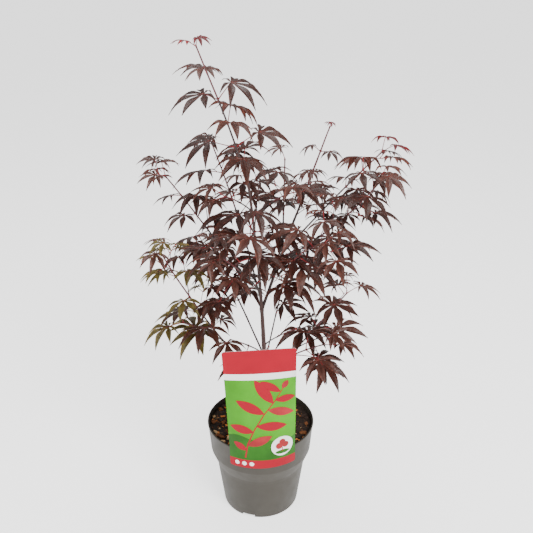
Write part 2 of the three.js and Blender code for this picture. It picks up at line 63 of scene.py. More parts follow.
# The driving sizes, most of them the part's own
POT = Named(
    height=170, foot=68, body=79, neck=80.4, bandFoot=90, band=94.2, rim=95,
    bodyHeight=85, neckHeight=92, bandHeight=117, lip=3, wall=1.8, floor=2.4, corner=1.8,
)
UNDERSIDE = Named(base=7, ring=6)
DRAIN = Named(count=3, first=-109, width=24, height=6, depth=14)
SOIL = Named(level=162, edgeDrop=2, flat=45)
CARD = Named(width=119, height=235, foot=136, thick=0.8, clear=0.5, shift=2, tilt=1.6, twist=4)
TRUNK = Named(foot=9, root=155, lean=-26, rise=457, bow=7, fork=229)
TRUNK_RADIUS = Named(flare=2.8, flareHeight=9, foot=4.6, fork=3.2, leader=2.4, tip=1.4, forkLength=14)
LOBES = [(-125, 0.4), (-82, 0.74), (-41, 0.93), (0, 1), (41, 0.93), (82, 0.74), (125, 0.4)]
STALK = Named(share=0.62, sunk=1, room=1, bow=0.07, hangs=0.3, thinnest=0.6, fullLeaf=50)
STALK_RADII = [1.2, 0.86, 0.74, 0.7, 0.7, 0.74, 0.9]
THIN_SIDES = 6
TWIG = Named(
    foot=0.9, tip=0.6, shortest=26, longer=30, bow=0.04, ahead=0.55, aside=0.5, rise=0.15,
    firstPair=0.95, room=0.8,
)
# How leaves stand on a stem, as shares, and as spreads in degrees
GROWTH = Named(
    lean=0.75, endLean=0.5, leanSpread=0.35, rise=0.12, shortest=0.6, longer=0.7,
    youngStalk=0.7, headingSpread=50, pitchSpread=24, rollSpread=30, turnSpread=30,
    smallest=0.8, larger=0.4, droop=6, curl=0.08, curlier=0.2, youngPower=4, twigYoung=0.5,
)
TRIES = 5
LOWEST_LEAF = 178
FREE_FROM = 0.06
ROOM = 95
# The gap in front of the fork, as levels along the line of sight
CLEARING = Named(low=342, high=404, left=-18, right=19, depth=150, rise=0.467)
# Steps between the numbers of the random draws
DRAWS = Named(site=48, attempt=8, branches=40, long=41, leaf=7)
TRUNK_OWNER, CARD_OWNER = -1, -2
# Room between blades and limbs, and how closely limbs and the card are followed
TAKEN = Named(margin=3.5, bladeGap=3.2, rodGap=1.9, reach=7, step=6, cardColumns=13, cardRows=24)

# Short sprays and long limbs, with what most of them share
SHORT = dict(parent="trunk", bow=3, bare=0, thick=1.8, pairs=2, first=0.5, spread=1.2, twiggy=0,
             young=0.15, leaf=50)
LONG = dict(SHORT, bow=4, bare=0.42, thick=2.6, pairs=4, first=0.1, twiggy=0.2, young=0.3, leaf=48)
READ_LIMBS = [
    dict(LONG, name="top", at=1, turn=180, out=75, up=212,
         bow=3, bare=0, pairs=6, first=0.14, spread=1.1, twiggy=0, young=0.6, leaf=54),
    dict(LONG, name="left_mid", height=395, turn=153, out=180, up=205,
         bow=6, thick=2.8, pairs=5, leaf=46),
    dict(LONG, name="left_low", height=240, turn=195, out=168, up=274,
         bow=-9, bare=0.45, thick=2.8, pairs=5, leaf=45),
    dict(LONG, name="right_low", height=246, turn=19, out=150, up=152,
         bow=0, bare=0.45, thick=2.8, leaf=50),
    dict(LONG, name="right_foot", height=262, turn=-30, out=112, up=95,
         bow=8, bare=0.5, thick=2.4, pairs=3, leaf=54),
    dict(SHORT, name="foot_left", height=305, turn=200, out=60, up=40),
    dict(SHORT, name="foot_front", height=300, turn=-80, out=45, up=45),
    dict(SHORT, name="foot_right", height=322, turn=-15, out=55, up=40),
    dict(SHORT, name="left_side", parent="left_low", at=0.39, turn=165, out=70, up=25),
    dict(SHORT, name="right_side", parent="right_low", at=0.39, turn=-15, out=60, up=35),
    dict(LONG, name="right_main", height=391, turn=39, out=144, up=290,
         bow=2, bare=0.62, thick=4.6, twiggy=0, young=0.55, leaf=24),
    dict(LONG, name="right_front", parent="right_main", at=0.27, turn=-12, out=158, up=150,
         bow=-10, bare=0.32, pairs=5),
    dict(LONG, name="right_back", parent="right_main", at=0.31, turn=15, out=168, up=162,
         bow=3, bare=0.32, pairs=5),
    dict(LONG, name="left_high", height=406, turn=138, out=106, up=250,
         bow=8, bare=0.5, leaf=52),
    dict(SHORT, name="spur_front", height=520, turn=-95, out=70, up=50, leaf=64),
    dict(SHORT, name="fork_front", height=455, turn=-60, out=70, up=28, leaf=64),
    dict(SHORT, name="fork_left", height=440, turn=-125, out=75, up=35, leaf=58),
    dict(LONG, name="front_right", parent="right_main", at=0.22, turn=-55, out=125, up=95,
         thick=2.4, leaf=54),
    dict(LONG, name="front_left", height=425, turn=-118, out=120, up=110,
         thick=2.4, pairs=3, leaf=52),
    dict(LONG, name="right_steep", parent="right_main", at=0.32, turn=86, out=60, up=142,
         bow=1, bare=0.35, thick=2.4),
    dict(SHORT, name="spur_left", height=568, turn=215, out=50, up=35),
    dict(SHORT, name="spur_right", height=560, turn=-20, out=60, up=45),
    dict(SHORT, name="spur_back", height=535, turn=85, out=70, up=50),
    dict(SHORT, name="fork_back", height=450, turn=40, out=80, up=30, leaf=54),
    dict(LONG, name="rear_high", height=422, turn=100, out=150, up=165, bow=6),
    dict(LONG, name="rear_right", parent="right_main", at=0.2, turn=66, out=150, up=110),
    dict(LONG, name="rear_left", height=298, turn=130, out=145, up=160, bare=0.45),
    dict(LONG, name="rear_low", height=284, turn=72, out=135, up=125,
         bare=0.45, thick=2.4, pairs=3),
]
# The first limb's seed, and the steps of seed and turn from limb to limb
SEED = Named(first=36, step=37, spin=15)


def full_row(i, row):
    """A limb's values, with those that follow from its place in the list and its leaves' length."""
    at = row["at"] if "at" in row else (row["height"] - TRUNK.root) / TRUNK.rise
    place_in_list = dict(spin=SEED.spin * i, seed=SEED.first + SEED.step * i)
    return Named(**{**row, **place_in_list, "at": at, "stalk": STALK.share * row["leaf"]})


LIMBS = [full_row(i, row) for i, row in enumerate(READ_LIMBS)]


def mix(a, b, share):
    return a + (b - a) * share


def unit(v):
    return v / math.sqrt(float(v @ v))


def lengths(v):
    return np.sqrt((v ** 2).sum(-1))


def polar(turn):
    """The cosine and the sine of a turn in degrees."""
    return np.array([math.cos(math.radians(turn)), math.sin(math.radians(turn))])


def noise(seed, number):
    """The same share between 0 and 1 for the same seed and number."""
    wave = math.sin(seed * 12.9898 + number * 78.233) * 43758.5453
    return wave - math.floor(wave)


WAVES = Named(count=5, narrow=0.7, wide=1.5, shift=6.3, high=3.2)


def smooth_noise(points, size, seed):
    """A smooth value between about -1 and 1 at each point, from crossed waves of the given size."""
    total = np.zeros(len(points))
    for i in range(WAVES.count):
        way = np.array([noise(seed, 3 * i + k) - 0.5 for k in range(3)])
        way = unit(way) * (2 * math.pi / size) * mix(WAVES.narrow, WAVES.wide, noise(seed, 20 + i))
        total += np.sin(points @ way + WAVES.shift * noise(seed, 40 + i))
    return total / WAVES.high


# Limbs: a parabola from base to tip, whose middle rises off the straight line by the bow

class Limb:
    def __init__(self, base, tip, bow):
        self.base = base
        self.line = tip - base
        x, y, z = self.line
        flat = math.hypot(x, y)
        rise = np.array([-x * z / flat, -y * z / flat, flat])
        self.sag = unit(rise) * bow

    def length(self):
        return lengths(self.line)

    def at(self, t):
        return self.base + self.line * t + self.sag * (4 * t * (1 - t))

    def direction(self, t):
        return unit(self.line + self.sag * (4 - 8 * t))


TRUNK_HEIGHT = TRUNK.root + TRUNK.rise - SOIL.level


def trunk_radius(t):
    height = TRUNK_HEIGHT - (1 - t) * TRUNK.rise
    flare = TRUNK_RADIUS.flare * math.exp(-height / TRUNK_RADIUS.flareHeight)
    past = height - TRUNK.fork
    if past < 0:
        return flare + mix(TRUNK_RADIUS.foot, TRUNK_RADIUS.fork, height / TRUNK.fork)
    leader = mix(TRUNK_RADIUS.leader, TRUNK_RADIUS.tip, past / (TRUNK_HEIGHT - TRUNK.fork))
    return mix(TRUNK_RADIUS.fork, leader, min(past / TRUNK_RADIUS.forkLength, 1))


# What is already placed: points with a half width, and for blades the way that they face

class Taken:
    def __init__(self, most=30000):
        self.points = np.zeros((most, 3))
        self.half = np.zeros(most)
        self.facing = np.zeros((most, 3))
        self.owner = np.zeros(most, int)
        self.count = 0

    def add(self, points, half, facing, owner):
        added = slice(self.count, self.count + len(points))
        self.points[added] = points
        self.half[added] = half
        self.facing[added] = 0 if facing is None else facing
        self.owner[added] = owner
        self.count = added.stop

    def near(self, points, half):
        """What is placed near these points, with its offset from each and whether it is close to it."""
        placed, wide = self.points[:self.count], self.half[:self.count]
        middle = (points.max(0) + points.min(0)) / 2
        reach = lengths(points - middle).max() + np.max(half) + TAKEN.margin
        chosen = np.flatnonzero(lengths(placed - middle) - wide < reach)
        wide, facing = wide[chosen], self.facing[chosen]
        apart = placed[chosen] - points[:, None]
        close = lengths(apart) < np.reshape(half, (-1, 1)) + wide + TAKEN.margin
        across = np.abs((apart * facing).sum(2))
        return apart, close, wide, facing, across, self.owner[chosen]

    def blade_hits(self, points, half, normals):
        apart, close, wide, facing, across, _ = self.near(points, half)
        rod = ~facing.any(1)
        above = np.abs((apart * normals[:, None]).sum(2))
        tilt = np.sqrt(np.clip(1 - (normals @ facing.T) ** 2, 0, 1))
        reach = np.maximum(np.maximum(half[:, None], wide), TAKEN.reach)
        gap = np.where(rod, above, np.minimum(above, across))
        least = TAKEN.bladeGap + np.where(rod, wide, tilt * reach)
        return bool((close & (gap < least)).any())

    def rod_hits(self, points, radius, owner):
        _, close, _, _, across, owners = self.near(points, radius)
        return bool((close & (owners != owner) & (across < TAKEN.rodGap + radius)).any())


taken = Taken()


def take_limb(limb, radius, start, owner):
    count = max(4, int(limb.length() * (1 - start) / TAKEN.step))
    shares = [mix(start, 1, i / (count - 1)) for i in range(count)]
    taken.add([limb.at(t) for t in shares], [mix(radius, TWIG.tip, t) for t in shares], None, owner)


def in_space(along, height):
    """Where a point of the flat card comes to lie: round the rim at its foot, straight at its top."""
    radius = POT.rim + CARD.clear + CARD.thick / 2
    above = (height - POT.height) / (CARD.foot + CARD.height - POT.height)
    straight = min(1, max(0, above))
    x = mix(radius * math.sin(along / radius), along, straight)
    wrapped = math.sqrt(radius * radius - x * x)
    return x, -mix(wrapped, radius - x * math.tan(math.radians(CARD.twist)), straight), height


def take_card():
    for i in range(TAKEN.cardColumns):
        for j in range(TAKEN.cardRows):
            along = CARD.width * (i / (TAKEN.cardColumns - 1) - 0.5) + CARD.shift
            height = CARD.foot + CARD.height * j / (TAKEN.cardRows - 1)
            taken.add([in_space(along, height)], TAKEN.step, None, CARD_OWNER)


# Growth: pairs of leaves along a stem, each pair turned from the last, some leaves grown to twigs

LOBE_WIDTHS = [(0.22, 0.1), (0.5, 0.165), (0.78, 0.095), (1, 0.01)]
HUB_WIDTH = 0.2
ROD_SHARES = [0.12, 0.32, 0.52, 0.72, 0.9]
SAMPLES = np.array([
    (*(polar(turn) * out * share), width * share) for turn, share in LOBES for out, width in LOBE_WIDTHS
])


def on_blade(leaf, x, y):
    """Points of the blade, whose droop grows with the square of their distance from the hub."""
    across = np.cross(leaf.normal, leaf.axis)
    drop = leaf.curl * (x * x + y * y) / leaf.size
    flat = np.outer(x, leaf.axis) + np.outer(y, across)
    return leaf.hub + flat - np.outer(drop, leaf.normal)


def blade_samples(leaf):
    """Points that stand for a blade, with a half width and the way that the blade faces there."""
    x, y, width = (SAMPLES * leaf.size).T
    points = np.vstack([on_blade(leaf, x, y), leaf.hub])
    steep = 2 * leaf.curl / leaf.size
    across = np.cross(leaf.normal, leaf.axis)
    lean = np.outer(steep * np.append(x, 0), leaf.axis) + np.outer(steep * np.append(y, 0), across)
    normals = leaf.normal + lean
    normals /= lengths(normals)[:, None]
    return points, np.append(np.maximum(width, 1), HUB_WIDTH * leaf.size), normals


def in_clearing(points):
    seen = points[:, 2] + CLEARING.rise * points[:, 1]
    level = (seen > CLEARING.low) & (seen < CLEARING.high)
    beside = (points[:, 0] > CLEARING.left) & (points[:, 0] < CLEARING.right)
    return bool((level & beside & (np.abs(points[:, 1]) < CLEARING.depth)).any())


def sideways(along, turn):
    flat = unit(np.cross(along, UP))
    c, s = polar(turn)
    return flat * c + np.cross(flat, along) * s


def try_leaf(row, stem, site, draw, turn_spread):
    def evenly(number, spread):
        return (draw(number) - 0.5) * spread

    along = stem.direction(site.t)
    foot = stem.at(site.t)
    side = sideways(along, site.turn + evenly(0, turn_spread))
    lean = (GROWTH.endLean if site.ending else GROWTH.lean) + evenly(7, GROWTH.leanSpread)
    out = unit(along * (1 - lean) + side * lean + UP * GROWTH.rise)
    shrunk = row.stalk * (1 - GROWTH.youngStalk * site.young)
    stalk = shrunk * (GROWTH.shortest + GROWTH.longer * draw(1))
    heading = math.atan2(out[1], out[0]) + math.radians(evenly(6, GROWTH.headingSpread))
    pitch = math.radians(evenly(3, GROWTH.pitchSpread) - GROWTH.droop)
    flat = math.cos(pitch)
    axis = np.array([math.cos(heading) * flat, math.sin(heading) * flat, math.sin(pitch)])
    level = unit(np.cross(UP, axis))
    roll = math.radians(evenly(4, GROWTH.rollSpread))
    return Named(
        foot=foot,
        along=along,
        hub=foot + out * stalk,
        axis=axis,
        normal=np.cross(axis, level) * math.cos(roll) + level * math.sin(roll),
        size=row.leaf * (GROWTH.smallest + GROWTH.larger * draw(2)) * (1 - site.young),
        curl=GROWTH.curl + GROWTH.curlier * draw(5),
        young=site.young,
        seed=row.seed + site.number * DRAWS.leaf,
    )


def grow_leaf(mass, row, path, site):
    """Adds a leaf to the mass if it finds room, in one of a few tries."""
    for attempt in range(TRIES):
        def draw(i):
            return noise(row.seed, site.number + attempt * DRAWS.attempt + i)

        leaf = try_leaf(row, path, site, draw, GROWTH.turnSpread * (1 + attempt))
        points, half, normals = blade_samples(leaf)
        reach = lengths(points - mass.middle).max()
        if points[:, 2].min() < LOWEST_LEAF or reach > mass.room or in_clearing(points):
            continue
        if taken.blade_hits(points, half, normals):
            continue
        stalk = np.array([mix(leaf.foot, leaf.hub, share) for share in ROD_SHARES])
        if taken.rod_hits(stalk, STALK.room, mass.owner):
            continue
        taken.add(points, half, normals, mass.owner)
        taken.add(stalk, STALK.room, None, mass.owner)
        mass.leaves.append(leaf)
        return True
    return False


def free_twig(mass, path, t, out, long):
    """A twig that leaves the path in a direction, or nothing where it has no room."""
    base = path.at(t)
    twig = Limb(base, base + unit(out) * long, long * TWIG.bow)
    rod = np.array([twig.at(share) for share in ROD_SHARES])
    if rod[:, 2].min() <= LOWEST_LEAF or taken.rod_hits(rod, TWIG.room, mass.owner):
        return None
    taken.add(rod, TWIG.room, None, mass.owner)
    return twig


def grow_twig(mass, path, site):
    along = path.direction(site.t)
    out = along * TWIG.ahead + sideways(along, site.turn) * TWIG.aside + UP * TWIG.rise
    long = TWIG.shortest + TWIG.longer * noise(mass.row.seed, site.number + DRAWS.long)
    twig = free_twig(mass, path, site.t, out, long)
    if twig is None:
        return False
    mass.twigs.append(twig)
    grow_pairs(mass, twig, TWIG.firstPair, 1, 1)
    return True


def grow_pairs(mass, path, first, pairs, level):
    row = mass.row
    for k in range(pairs):
        share = k / (pairs - 1) if pairs > 1 else 1
        ending = k == pairs - 1
        t = mix(first, 1, share ** row.spread)
        if level == 0:
            mass.pairs_at.append(t)
        for half in (0, 180):
            site = Named(
                t=t,
                turn=row.spin + 90 * (k + level) + half,
                young=row.young * (GROWTH.twigYoung if level else share ** GROWTH.youngPower),
                ending=ending,
                number=DRAWS.site * mass.sites,
            )
            mass.sites += 1
            branches = noise(row.seed, site.number + DRAWS.branches) < row.twiggy
            if level == 0 and not ending and branches and grow_twig(mass, path, site):
                continue
            grow_leaf(mass, row, path, site)


# Finer growth: thin twigs between the pairs, with up to three smaller leaves at their ends

FINER = Named(
    every=34, seed=500, draws=90, ahead=0.5, aside=0.65, rise=0.25,
    shortest=9, longer=30, leaf=0.65, larger=0.35, stalk=0.75, turn=75,
    first=0.3, last=0.97, leafAt=0.96, young=0.1, firstDraw=60, thick=0.75,
)
# These masses stay open, as thin shoots
SPARSE = ["top", "right_main"]


def grow_finer(mass):
    row, stem = mass.row, mass.limb
    start = mix(row.bare, 1, FINER.first * row.first)
    for k in range(int(stem.length() * (1 - start) / FINER.every)):
        seed = row.seed + FINER.seed

        def draw(i):
            return noise(seed, FINER.draws * k + FINER.firstDraw + i)

        t = mix(start, FINER.last, draw(0))
        along = stem.direction(t)
        side = sideways(along, 360 * draw(1))
        out = along * FINER.ahead + side * FINER.aside + UP * FINER.rise
        twig = free_twig(mass, stem, t, out, FINER.shortest + FINER.longer * draw(2))
        if twig is None:
            continue
        leaf = row.leaf * (FINER.leaf + FINER.larger * draw(3))
        small = Named(leaf=leaf, seed=seed, stalk=row.stalk * FINER.stalk)
        turn = 360 * draw(4)
        grown = 0
        for n, aside in enumerate((0, 180, FINER.turn)):
            site = Named(
                t=FINER.leafAt, turn=turn + aside, young=FINER.young, ending=n == 2,
                number=DRAWS.site * (3 * k + n),
            )
            grown += grow_leaf(mass, small, twig, site)
        if grown:
            mass.fine_twigs.append(twig)


trunk = Limb(
    np.array([TRUNK.foot, 0.0, TRUNK.root]),
    np.array([TRUNK.foot + TRUNK.lean, 0.0, TRUNK.root + TRUNK.rise]),
    TRUNK.bow,
)


def grow_plant():
    """Every limb's stem, leaves, twigs and leaf pairs, in the source's order."""
    limbs = {"trunk": trunk}
    plant = {}
    take_limb(trunk, TRUNK_RADIUS.foot, 0, TRUNK_OWNER)
    take_card()
    for owner, row in enumerate(LIMBS):
        base = limbs[row.parent].at(row.at)
        reach = np.array([*(row.out * polar(row.turn)), row.up])
        limb = Limb(base, base + reach, row.bow)
        limbs[row.name] = limb
        take_limb(limb, row.thick / 2, FREE_FROM, owner)
        plant[row.name] = Named(
            row=row, limb=limb, owner=owner, middle=limb.at(0.5), room=limb.length() / 2 + ROOM,
            leaves=[], twigs=[], fine_twigs=[], pairs_at=[], sites=0,
        )
        grow_pairs(plant[row.name], limb, mix(row.bare, 1, row.first), row.pairs, 0)
    for name, mass in plant.items():
        if name not in SPARSE:
            grow_finer(mass)
    return plant


plant = grow_plant()


# Meshes

class Pile:
    """Many small meshes joined into one. A face's look is the number of its material."""

    def __init__(self):
        self.points = []
        self.faces = []
        self.looks = []
        self.count = 0

    def add(self, points, faces, look=0):
        self.points.append(np.asarray(points, float))
        self.faces.extend([[corner + self.count for corner in face] for face in faces])
        self.looks.extend(look if hasattr(look, "__len__") else [look] * len(faces))
        self.count += len(points)


def place(name, pile, materials, replaced=(), sharp=None):
    mesh = bpy.data.meshes.new(name)
    mesh.from_pydata((np.vstack(pile.points) * MM).tolist(), [], pile.faces)
    mesh.polygons.foreach_set("material_index", pile.looks)
    mesh.update()
    return finish_piece(name, mesh, materials, replaced, sharp)


def add_object(name, data):
    added = bpy.data.objects.new(name, data)
    bpy.context.scene.collection.objects.link(added)
    return added


def soften(mesh, sharp):
    """Smooth shading, but for edges sharper than an angle where one is given."""
    mesh.polygons.foreach_set("use_smooth", [True] * len(mesh.polygons))
    if sharp:
        mesh.set_sharp_from_angle(angle=math.radians(sharp))


def finish_piece(name, mesh, materials, replaced, sharp):
    for made in materials:
        mesh.materials.append(made)
    soften(mesh, sharp)
    piece = add_object(name, mesh)
    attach(piece, "root")
    if replaced:
        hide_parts(*replaced)
    return piece


# Materials

# How fine the patterns are, as scales of the noise
LEAF_GRAIN = Named(blotch=170, vein=480, pore=1400)
BARK_GRAIN = Named(streak=260, pore=1500)


def shader_of(made):
    return made.node_tree.nodes["Principled BSDF"]


def set_inputs(target, **values):
    """Sets a node's inputs. An underscore stands for a gap in an input's name."""
    for name, value in values.items():
        target.inputs[name.replace("_", " ")].default_value = value
    return target


def material(name, colour, roughness, specular=0.5):
    made = bpy.data.materials.new(name)
    made.use_nodes = True
    look = {"Base_Color": (*colour, 1), "Roughness": roughness, "Specular_IOR_Level": specular}
    set_inputs(shader_of(made), **look)
    return made


def node(made, kind, **values):
    return set_inputs(made.node_tree.nodes.new(kind), **values)


def link(made, source, target):
    made.node_tree.links.new(source, target)


def noise_node(made, scale, detail=3, stretch=(1, 1, 1), roughness=0.5):
    source = node(made, "ShaderNodeTexCoord")
    mapping = node(made, "ShaderNodeMapping", Scale=stretch)
    made_noise = node(made, "ShaderNodeTexNoise", Scale=scale, Detail=detail, Roughness=roughness)
    link(made, source.outputs["Object"], mapping.inputs["Vector"])
    link(made, mapping.outputs["Vector"], made_noise.inputs["Vector"])
    return made_noise.outputs["Fac"]


def vary_colour(made, factor, colour, stops):
    """The base colour runs through the stops, each a position with a brightness or its own colour."""
    ramp = node(made, "ShaderNodeValToRGB")
    elements = ramp.color_ramp.elements
    while len(elements) < len(stops):
        elements.new(0.5)
    for element, (position, shade) in zip(elements, stops):
        if not isinstance(shade, tuple):
            shade = [min(1, channel * shade) for channel in colour]
        element.position = position
        element.color = (*shade, 1)
    link(made, factor, ramp.inputs["Fac"])
    link(made, ramp.outputs["Color"], shader_of(made).inputs["Base Color"])


def vary_roughness(made, factor, low, high):
    ranged = node(made, "ShaderNodeMapRange", To_Min=low, To_Max=high)
    link(made, factor, ranged.inputs["Value"])
    link(made, ranged.outputs["Result"], shader_of(made).inputs["Roughness"])


def bump(made, factor, distance, strength=1.0, before=None):
    """A bump of the given height in millimetres."""
    added = node(made, "ShaderNodeBump", Strength=strength, Distance=distance * MM)
    link(made, factor, added.inputs["Height"])
    if before:
        link(made, before.outputs["Normal"], added.inputs["Normal"])
    link(made, added.outputs["Normal"], shader_of(made).inputs["Normal"])
    return added


def leaf_material(name, colour, roughness, specular=0.5):
    made = material(name, colour, roughness, specular)
    blotches = noise_node(made, LEAF_GRAIN.blotch, 5, roughness=0.65)
    vary_colour(made, blotches, colour, [(0.3, 0.6), (0.5, 1), (0.7, 1.5)])
    veins = bump(made, noise_node(made, LEAF_GRAIN.vein, 3), 0.9, 0.9)
    bump(made, noise_node(made, LEAF_GRAIN.pore, 2), 0.1, 0.5, veins)
    return made


def bark_material(name, colour, roughness):
    made = material(name, colour, roughness, 0.35)
    streaks = noise_node(made, BARK_GRAIN.streak, 5, (1, 1, 0.22), 0.65)
    vary_colour(made, streaks, colour, [(0.28, 0.6), (0.55, 1), (0.8, 1.55)])
    ridges = bump(made, streaks, 0.35, 0.8)
    bump(made, noise_node(made, BARK_GRAIN.pore, 2), 0.08, 0.5, ridges)
    return made


# Leaves: a mesh of unit size, with toothed lobes, channelled and pleated between the side veins

SINUS = 0.15
WIDEST = 0.52
HALF_WIDTH = 0.138
NECK = SINUS * math.sin(math.radians(LOBES[4][0] / 2))
LOBE_RISE = 1.5
LOBE_TAPER = 1.45
BASE_STEPS = 2
BLADE_THICK = 0.36
SWELL = 1.08  # the blade's size against the source's plain one
HEEL = Named(turn=24, reach=0.2)
TOOTH = Named(out=0.0035, notch=0.002, taper=1.3, at=0.72, ahead=0.012, fewest=5, plain=0.35)
# How high the blade's edge and its middle stand over the rib: near the hub, and as shares of its width
LIFT = Named(hubEdge=0.016, hubMiddle=0.012, edge=0.34, middle=0.6, pleat=0.003)
RIB = Named(shares=[0.02, 0.16, 0.34, 0.55, 0.78], end=0.96, width=0.011, height=0.01, sunk=0.006)
BEND = Named(sway=9, tip=(0.08, 0.42), fold=(0.7, 2.2), start=0.45, full=2.2)
LEAF_DRAWS = {"sway": 60, "tip": 70, "fold": 80, "stalk": 90, "look": 100}


def lobe_width(s):
    """Half the lobe's width at a share of its length, as a share of that length."""
    if s < WIDEST:
        grown = math.sin(0.5 * math.pi * (s - SINUS) / (WIDEST - SINUS)) ** LOBE_RISE
        return mix(NECK, HALF_WIDTH, grown)
    return HALF_WIDTH * (1 - ((s - WIDEST) / (1 - WIDEST)) ** LOBE_TAPER)


def add_point(points, lobe, share, x, y, height):
    """Adds a point of a lobe, with x out along it, and gives its number."""
    turn, long = LOBES[lobe]
    c, s = polar(turn)
    points.append((lobe, share, (c * x - s * y) * long, (s * x + c * y) * long, height * long))
    return len(points) - 1


def rib_mesh(first):
    """A raised rib down the middle of each lobe, its points numbered from the first."""
    points = []
    faces = []
    sections = len(RIB.shares)
    for lobe in range(len(LOBES)):
        start = first + len(points)
        for share in RIB.shares:
            for y, height in ((-RIB.width, -RIB.sunk), (0, RIB.height), (RIB.width, -RIB.sunk)):
                add_point(points, lobe, share, share, y * (1 - share), height * (1 - share))
        end = first + add_point(points, lobe, RIB.end, RIB.end, 0, 0)
        for k in range(sections - 1):
            a = start + 3 * k
            faces += [[a + j, a + 3 + j, a + 3 + (j + 1) % 3, a + (j + 1) % 3] for j in range(3)]
        last = start + 3 * (sections - 1)
        faces += [[last + j, end, last + (j + 1) % 3] for j in range(3)]
        faces.append([start, start + 1, start + 2])
    return np.array(points), faces


def bisector(lobe, direction, share):
    """A shared point of the line between two lobes, or of the heel's edge."""
    turn, long = LOBES[lobe]
    other = lobe + direction
    if 0 <= other < len(LOBES):
        reach = SINUS * min(long, LOBES[other][1]) / long * share
        return reach * polar((LOBES[other][0] - turn) / 2)
    return HEEL.reach * share * polar(HEEL.turn * direction)


def hub_rows(points, shared, lobe):
    """Rows of five points from the hub to the sinus. Neighbouring lobes share their outer ones."""
    rows = []
    for k in range(1, BASE_STEPS + 1):
        share = k / BASE_STEPS
        out = SINUS * share
        rib = add_point(points, lobe, out, out, 0, 0)
        sides = {}
        for direction in (-1, 1):
            key = (min(lobe, lobe + direction), k)
            x, y = bisector(lobe, direction, share)
            if key not in shared:
                shared[key] = add_point(points, lobe, out, x, y, LIFT.hubEdge * share)
            middle = add_point(points, lobe, out, (x + out) / 2, y / 2, LIFT.hubMiddle * share)
            sides[direction] = [shared[key], middle]
        rows.append(sides[-1] + [rib] + sides[1][::-1])
    return rows


def toothed_rows(points, lobe, teeth):
    """Rows of five points along the rest of a lobe, by turns at a tooth and in a notch."""
    rows = []
    count = max(TOOTH.fewest, round(teeth * mix(TOOTH.plain, 1, LOBES[lobe][1])))
    for n in range(1, 2 * count):
        notch = n % 2 == 0
        s = SINUS + (1 - SINUS) * (n // 2 + (0 if notch else TOOTH.at)) / count
        width = lobe_width(s)
        edge = width + (-TOOTH.notch if notch else TOOTH.out) * (TOOTH.taper - s)
        ahead = 0 if notch else TOOTH.ahead
        lift = LIFT.edge * width
        rise = LIFT.middle * lift + (LIFT.pleat if notch else -LIFT.pleat)
        edges = [add_point(points, lobe, s, s + ahead, d * edge, lift) for d in (-1, 1)]
        middles = [add_point(points, lobe, s, s, d * 0.5 * width, rise) for d in (-1, 1)]
        rib = add_point(points, lobe, s, s, 0, 0)
        rows.append([edges[0], middles[0], rib, middles[1], edges[1]])
    return rows


def blade_mesh(teeth):
    """The blade's upper side, as lobe number, share of its length, x, y and height, closed below."""
    points = [(3, 0.0, 0.0, 0.0, 0.0)]
    top = []
    shared = {}
    for lobe in range(len(LOBES)):
        rows = hub_rows(points, shared, lobe) + toothed_rows(points, lobe, teeth)
        tip = add_point(points, lobe, 1, 1, 0, 0)
        for j in range(4):
            top.append([0, rows[0][j], rows[0][j + 1]])
            top += [[near[j], far[j], far[j + 1], near[j + 1]] for near, far in zip(rows, rows[1:])]
            top.append([rows[-1][j], tip, rows[-1][j + 1]])
    return closed_blade(np.array(points), top)


def closed_blade(points, top):
    """The blade with an underside, which shares only the points of the edge, and with its ribs."""
    pairs = Counter(frozenset(pair) for face in top for pair in zip(face, face[1:] + face[:1]))
    edge = {corner for pair, times in pairs.items() if times == 1 for corner in pair}
    inner = [i for i in range(len(points)) if i not in edge]
    twin = {corner: len(points) + n for n, corner in enumerate(inner)}
    under = [[twin.get(corner, corner) for corner in reversed(face)] for face in top]
    ribs, rib_faces = rib_mesh(len(points) + len(inner))
    skin = np.zeros(len(points))
    skin[inner] = 1
    lobe, share, x, y, height = np.vstack([points, points[inner], ribs]).T
    return Named(
        lobe=lobe.astype(int), share=share, x=x, y=y, height=height,
        skin=np.concatenate([skin, -np.ones(len(inner)), np.ones(len(ribs))]),
        faces=top + under + rib_faces, looks=[0] * len(top) + [1] * len(under) + [2] * len(rib_faces),
    )


FINE_BLADE = blade_mesh(9)
COARSE_BLADE = blade_mesh(6)
FINE_FROM = 24  # smaller leaves have the coarse blade


def blade_points(leaf, mesh):
    """The unit blade grown to the leaf's size and place: each lobe sways, droops and folds by itself."""
    size = leaf.size * SWELL

    def draws(first):
        return np.array([noise(leaf.seed, LEAF_DRAWS[first] + i) for i in range(len(LOBES))])

    sway = math.radians(BEND.sway) * (draws("sway") - 0.5)
    turn = sway[mesh.lobe] * mesh.share ** 2
    x = (mesh.x * np.cos(turn) - mesh.y * np.sin(turn)) * size
    y = (mesh.x * np.sin(turn) + mesh.y * np.cos(turn)) * size
    fold = mix(*BEND.fold, noise(leaf.seed, LEAF_DRAWS["fold"]))
    tip = mix(*BEND.tip, draws("tip"))
    droop = tip[mesh.lobe] * np.clip(mesh.share - BEND.start, 0, 1) ** 2 * BEND.full
    lift = (mesh.height * fold - droop) * size + mesh.skin * BLADE_THICK / 2
    return on_blade(leaf, x, y) + np.outer(lift, leaf.normal)


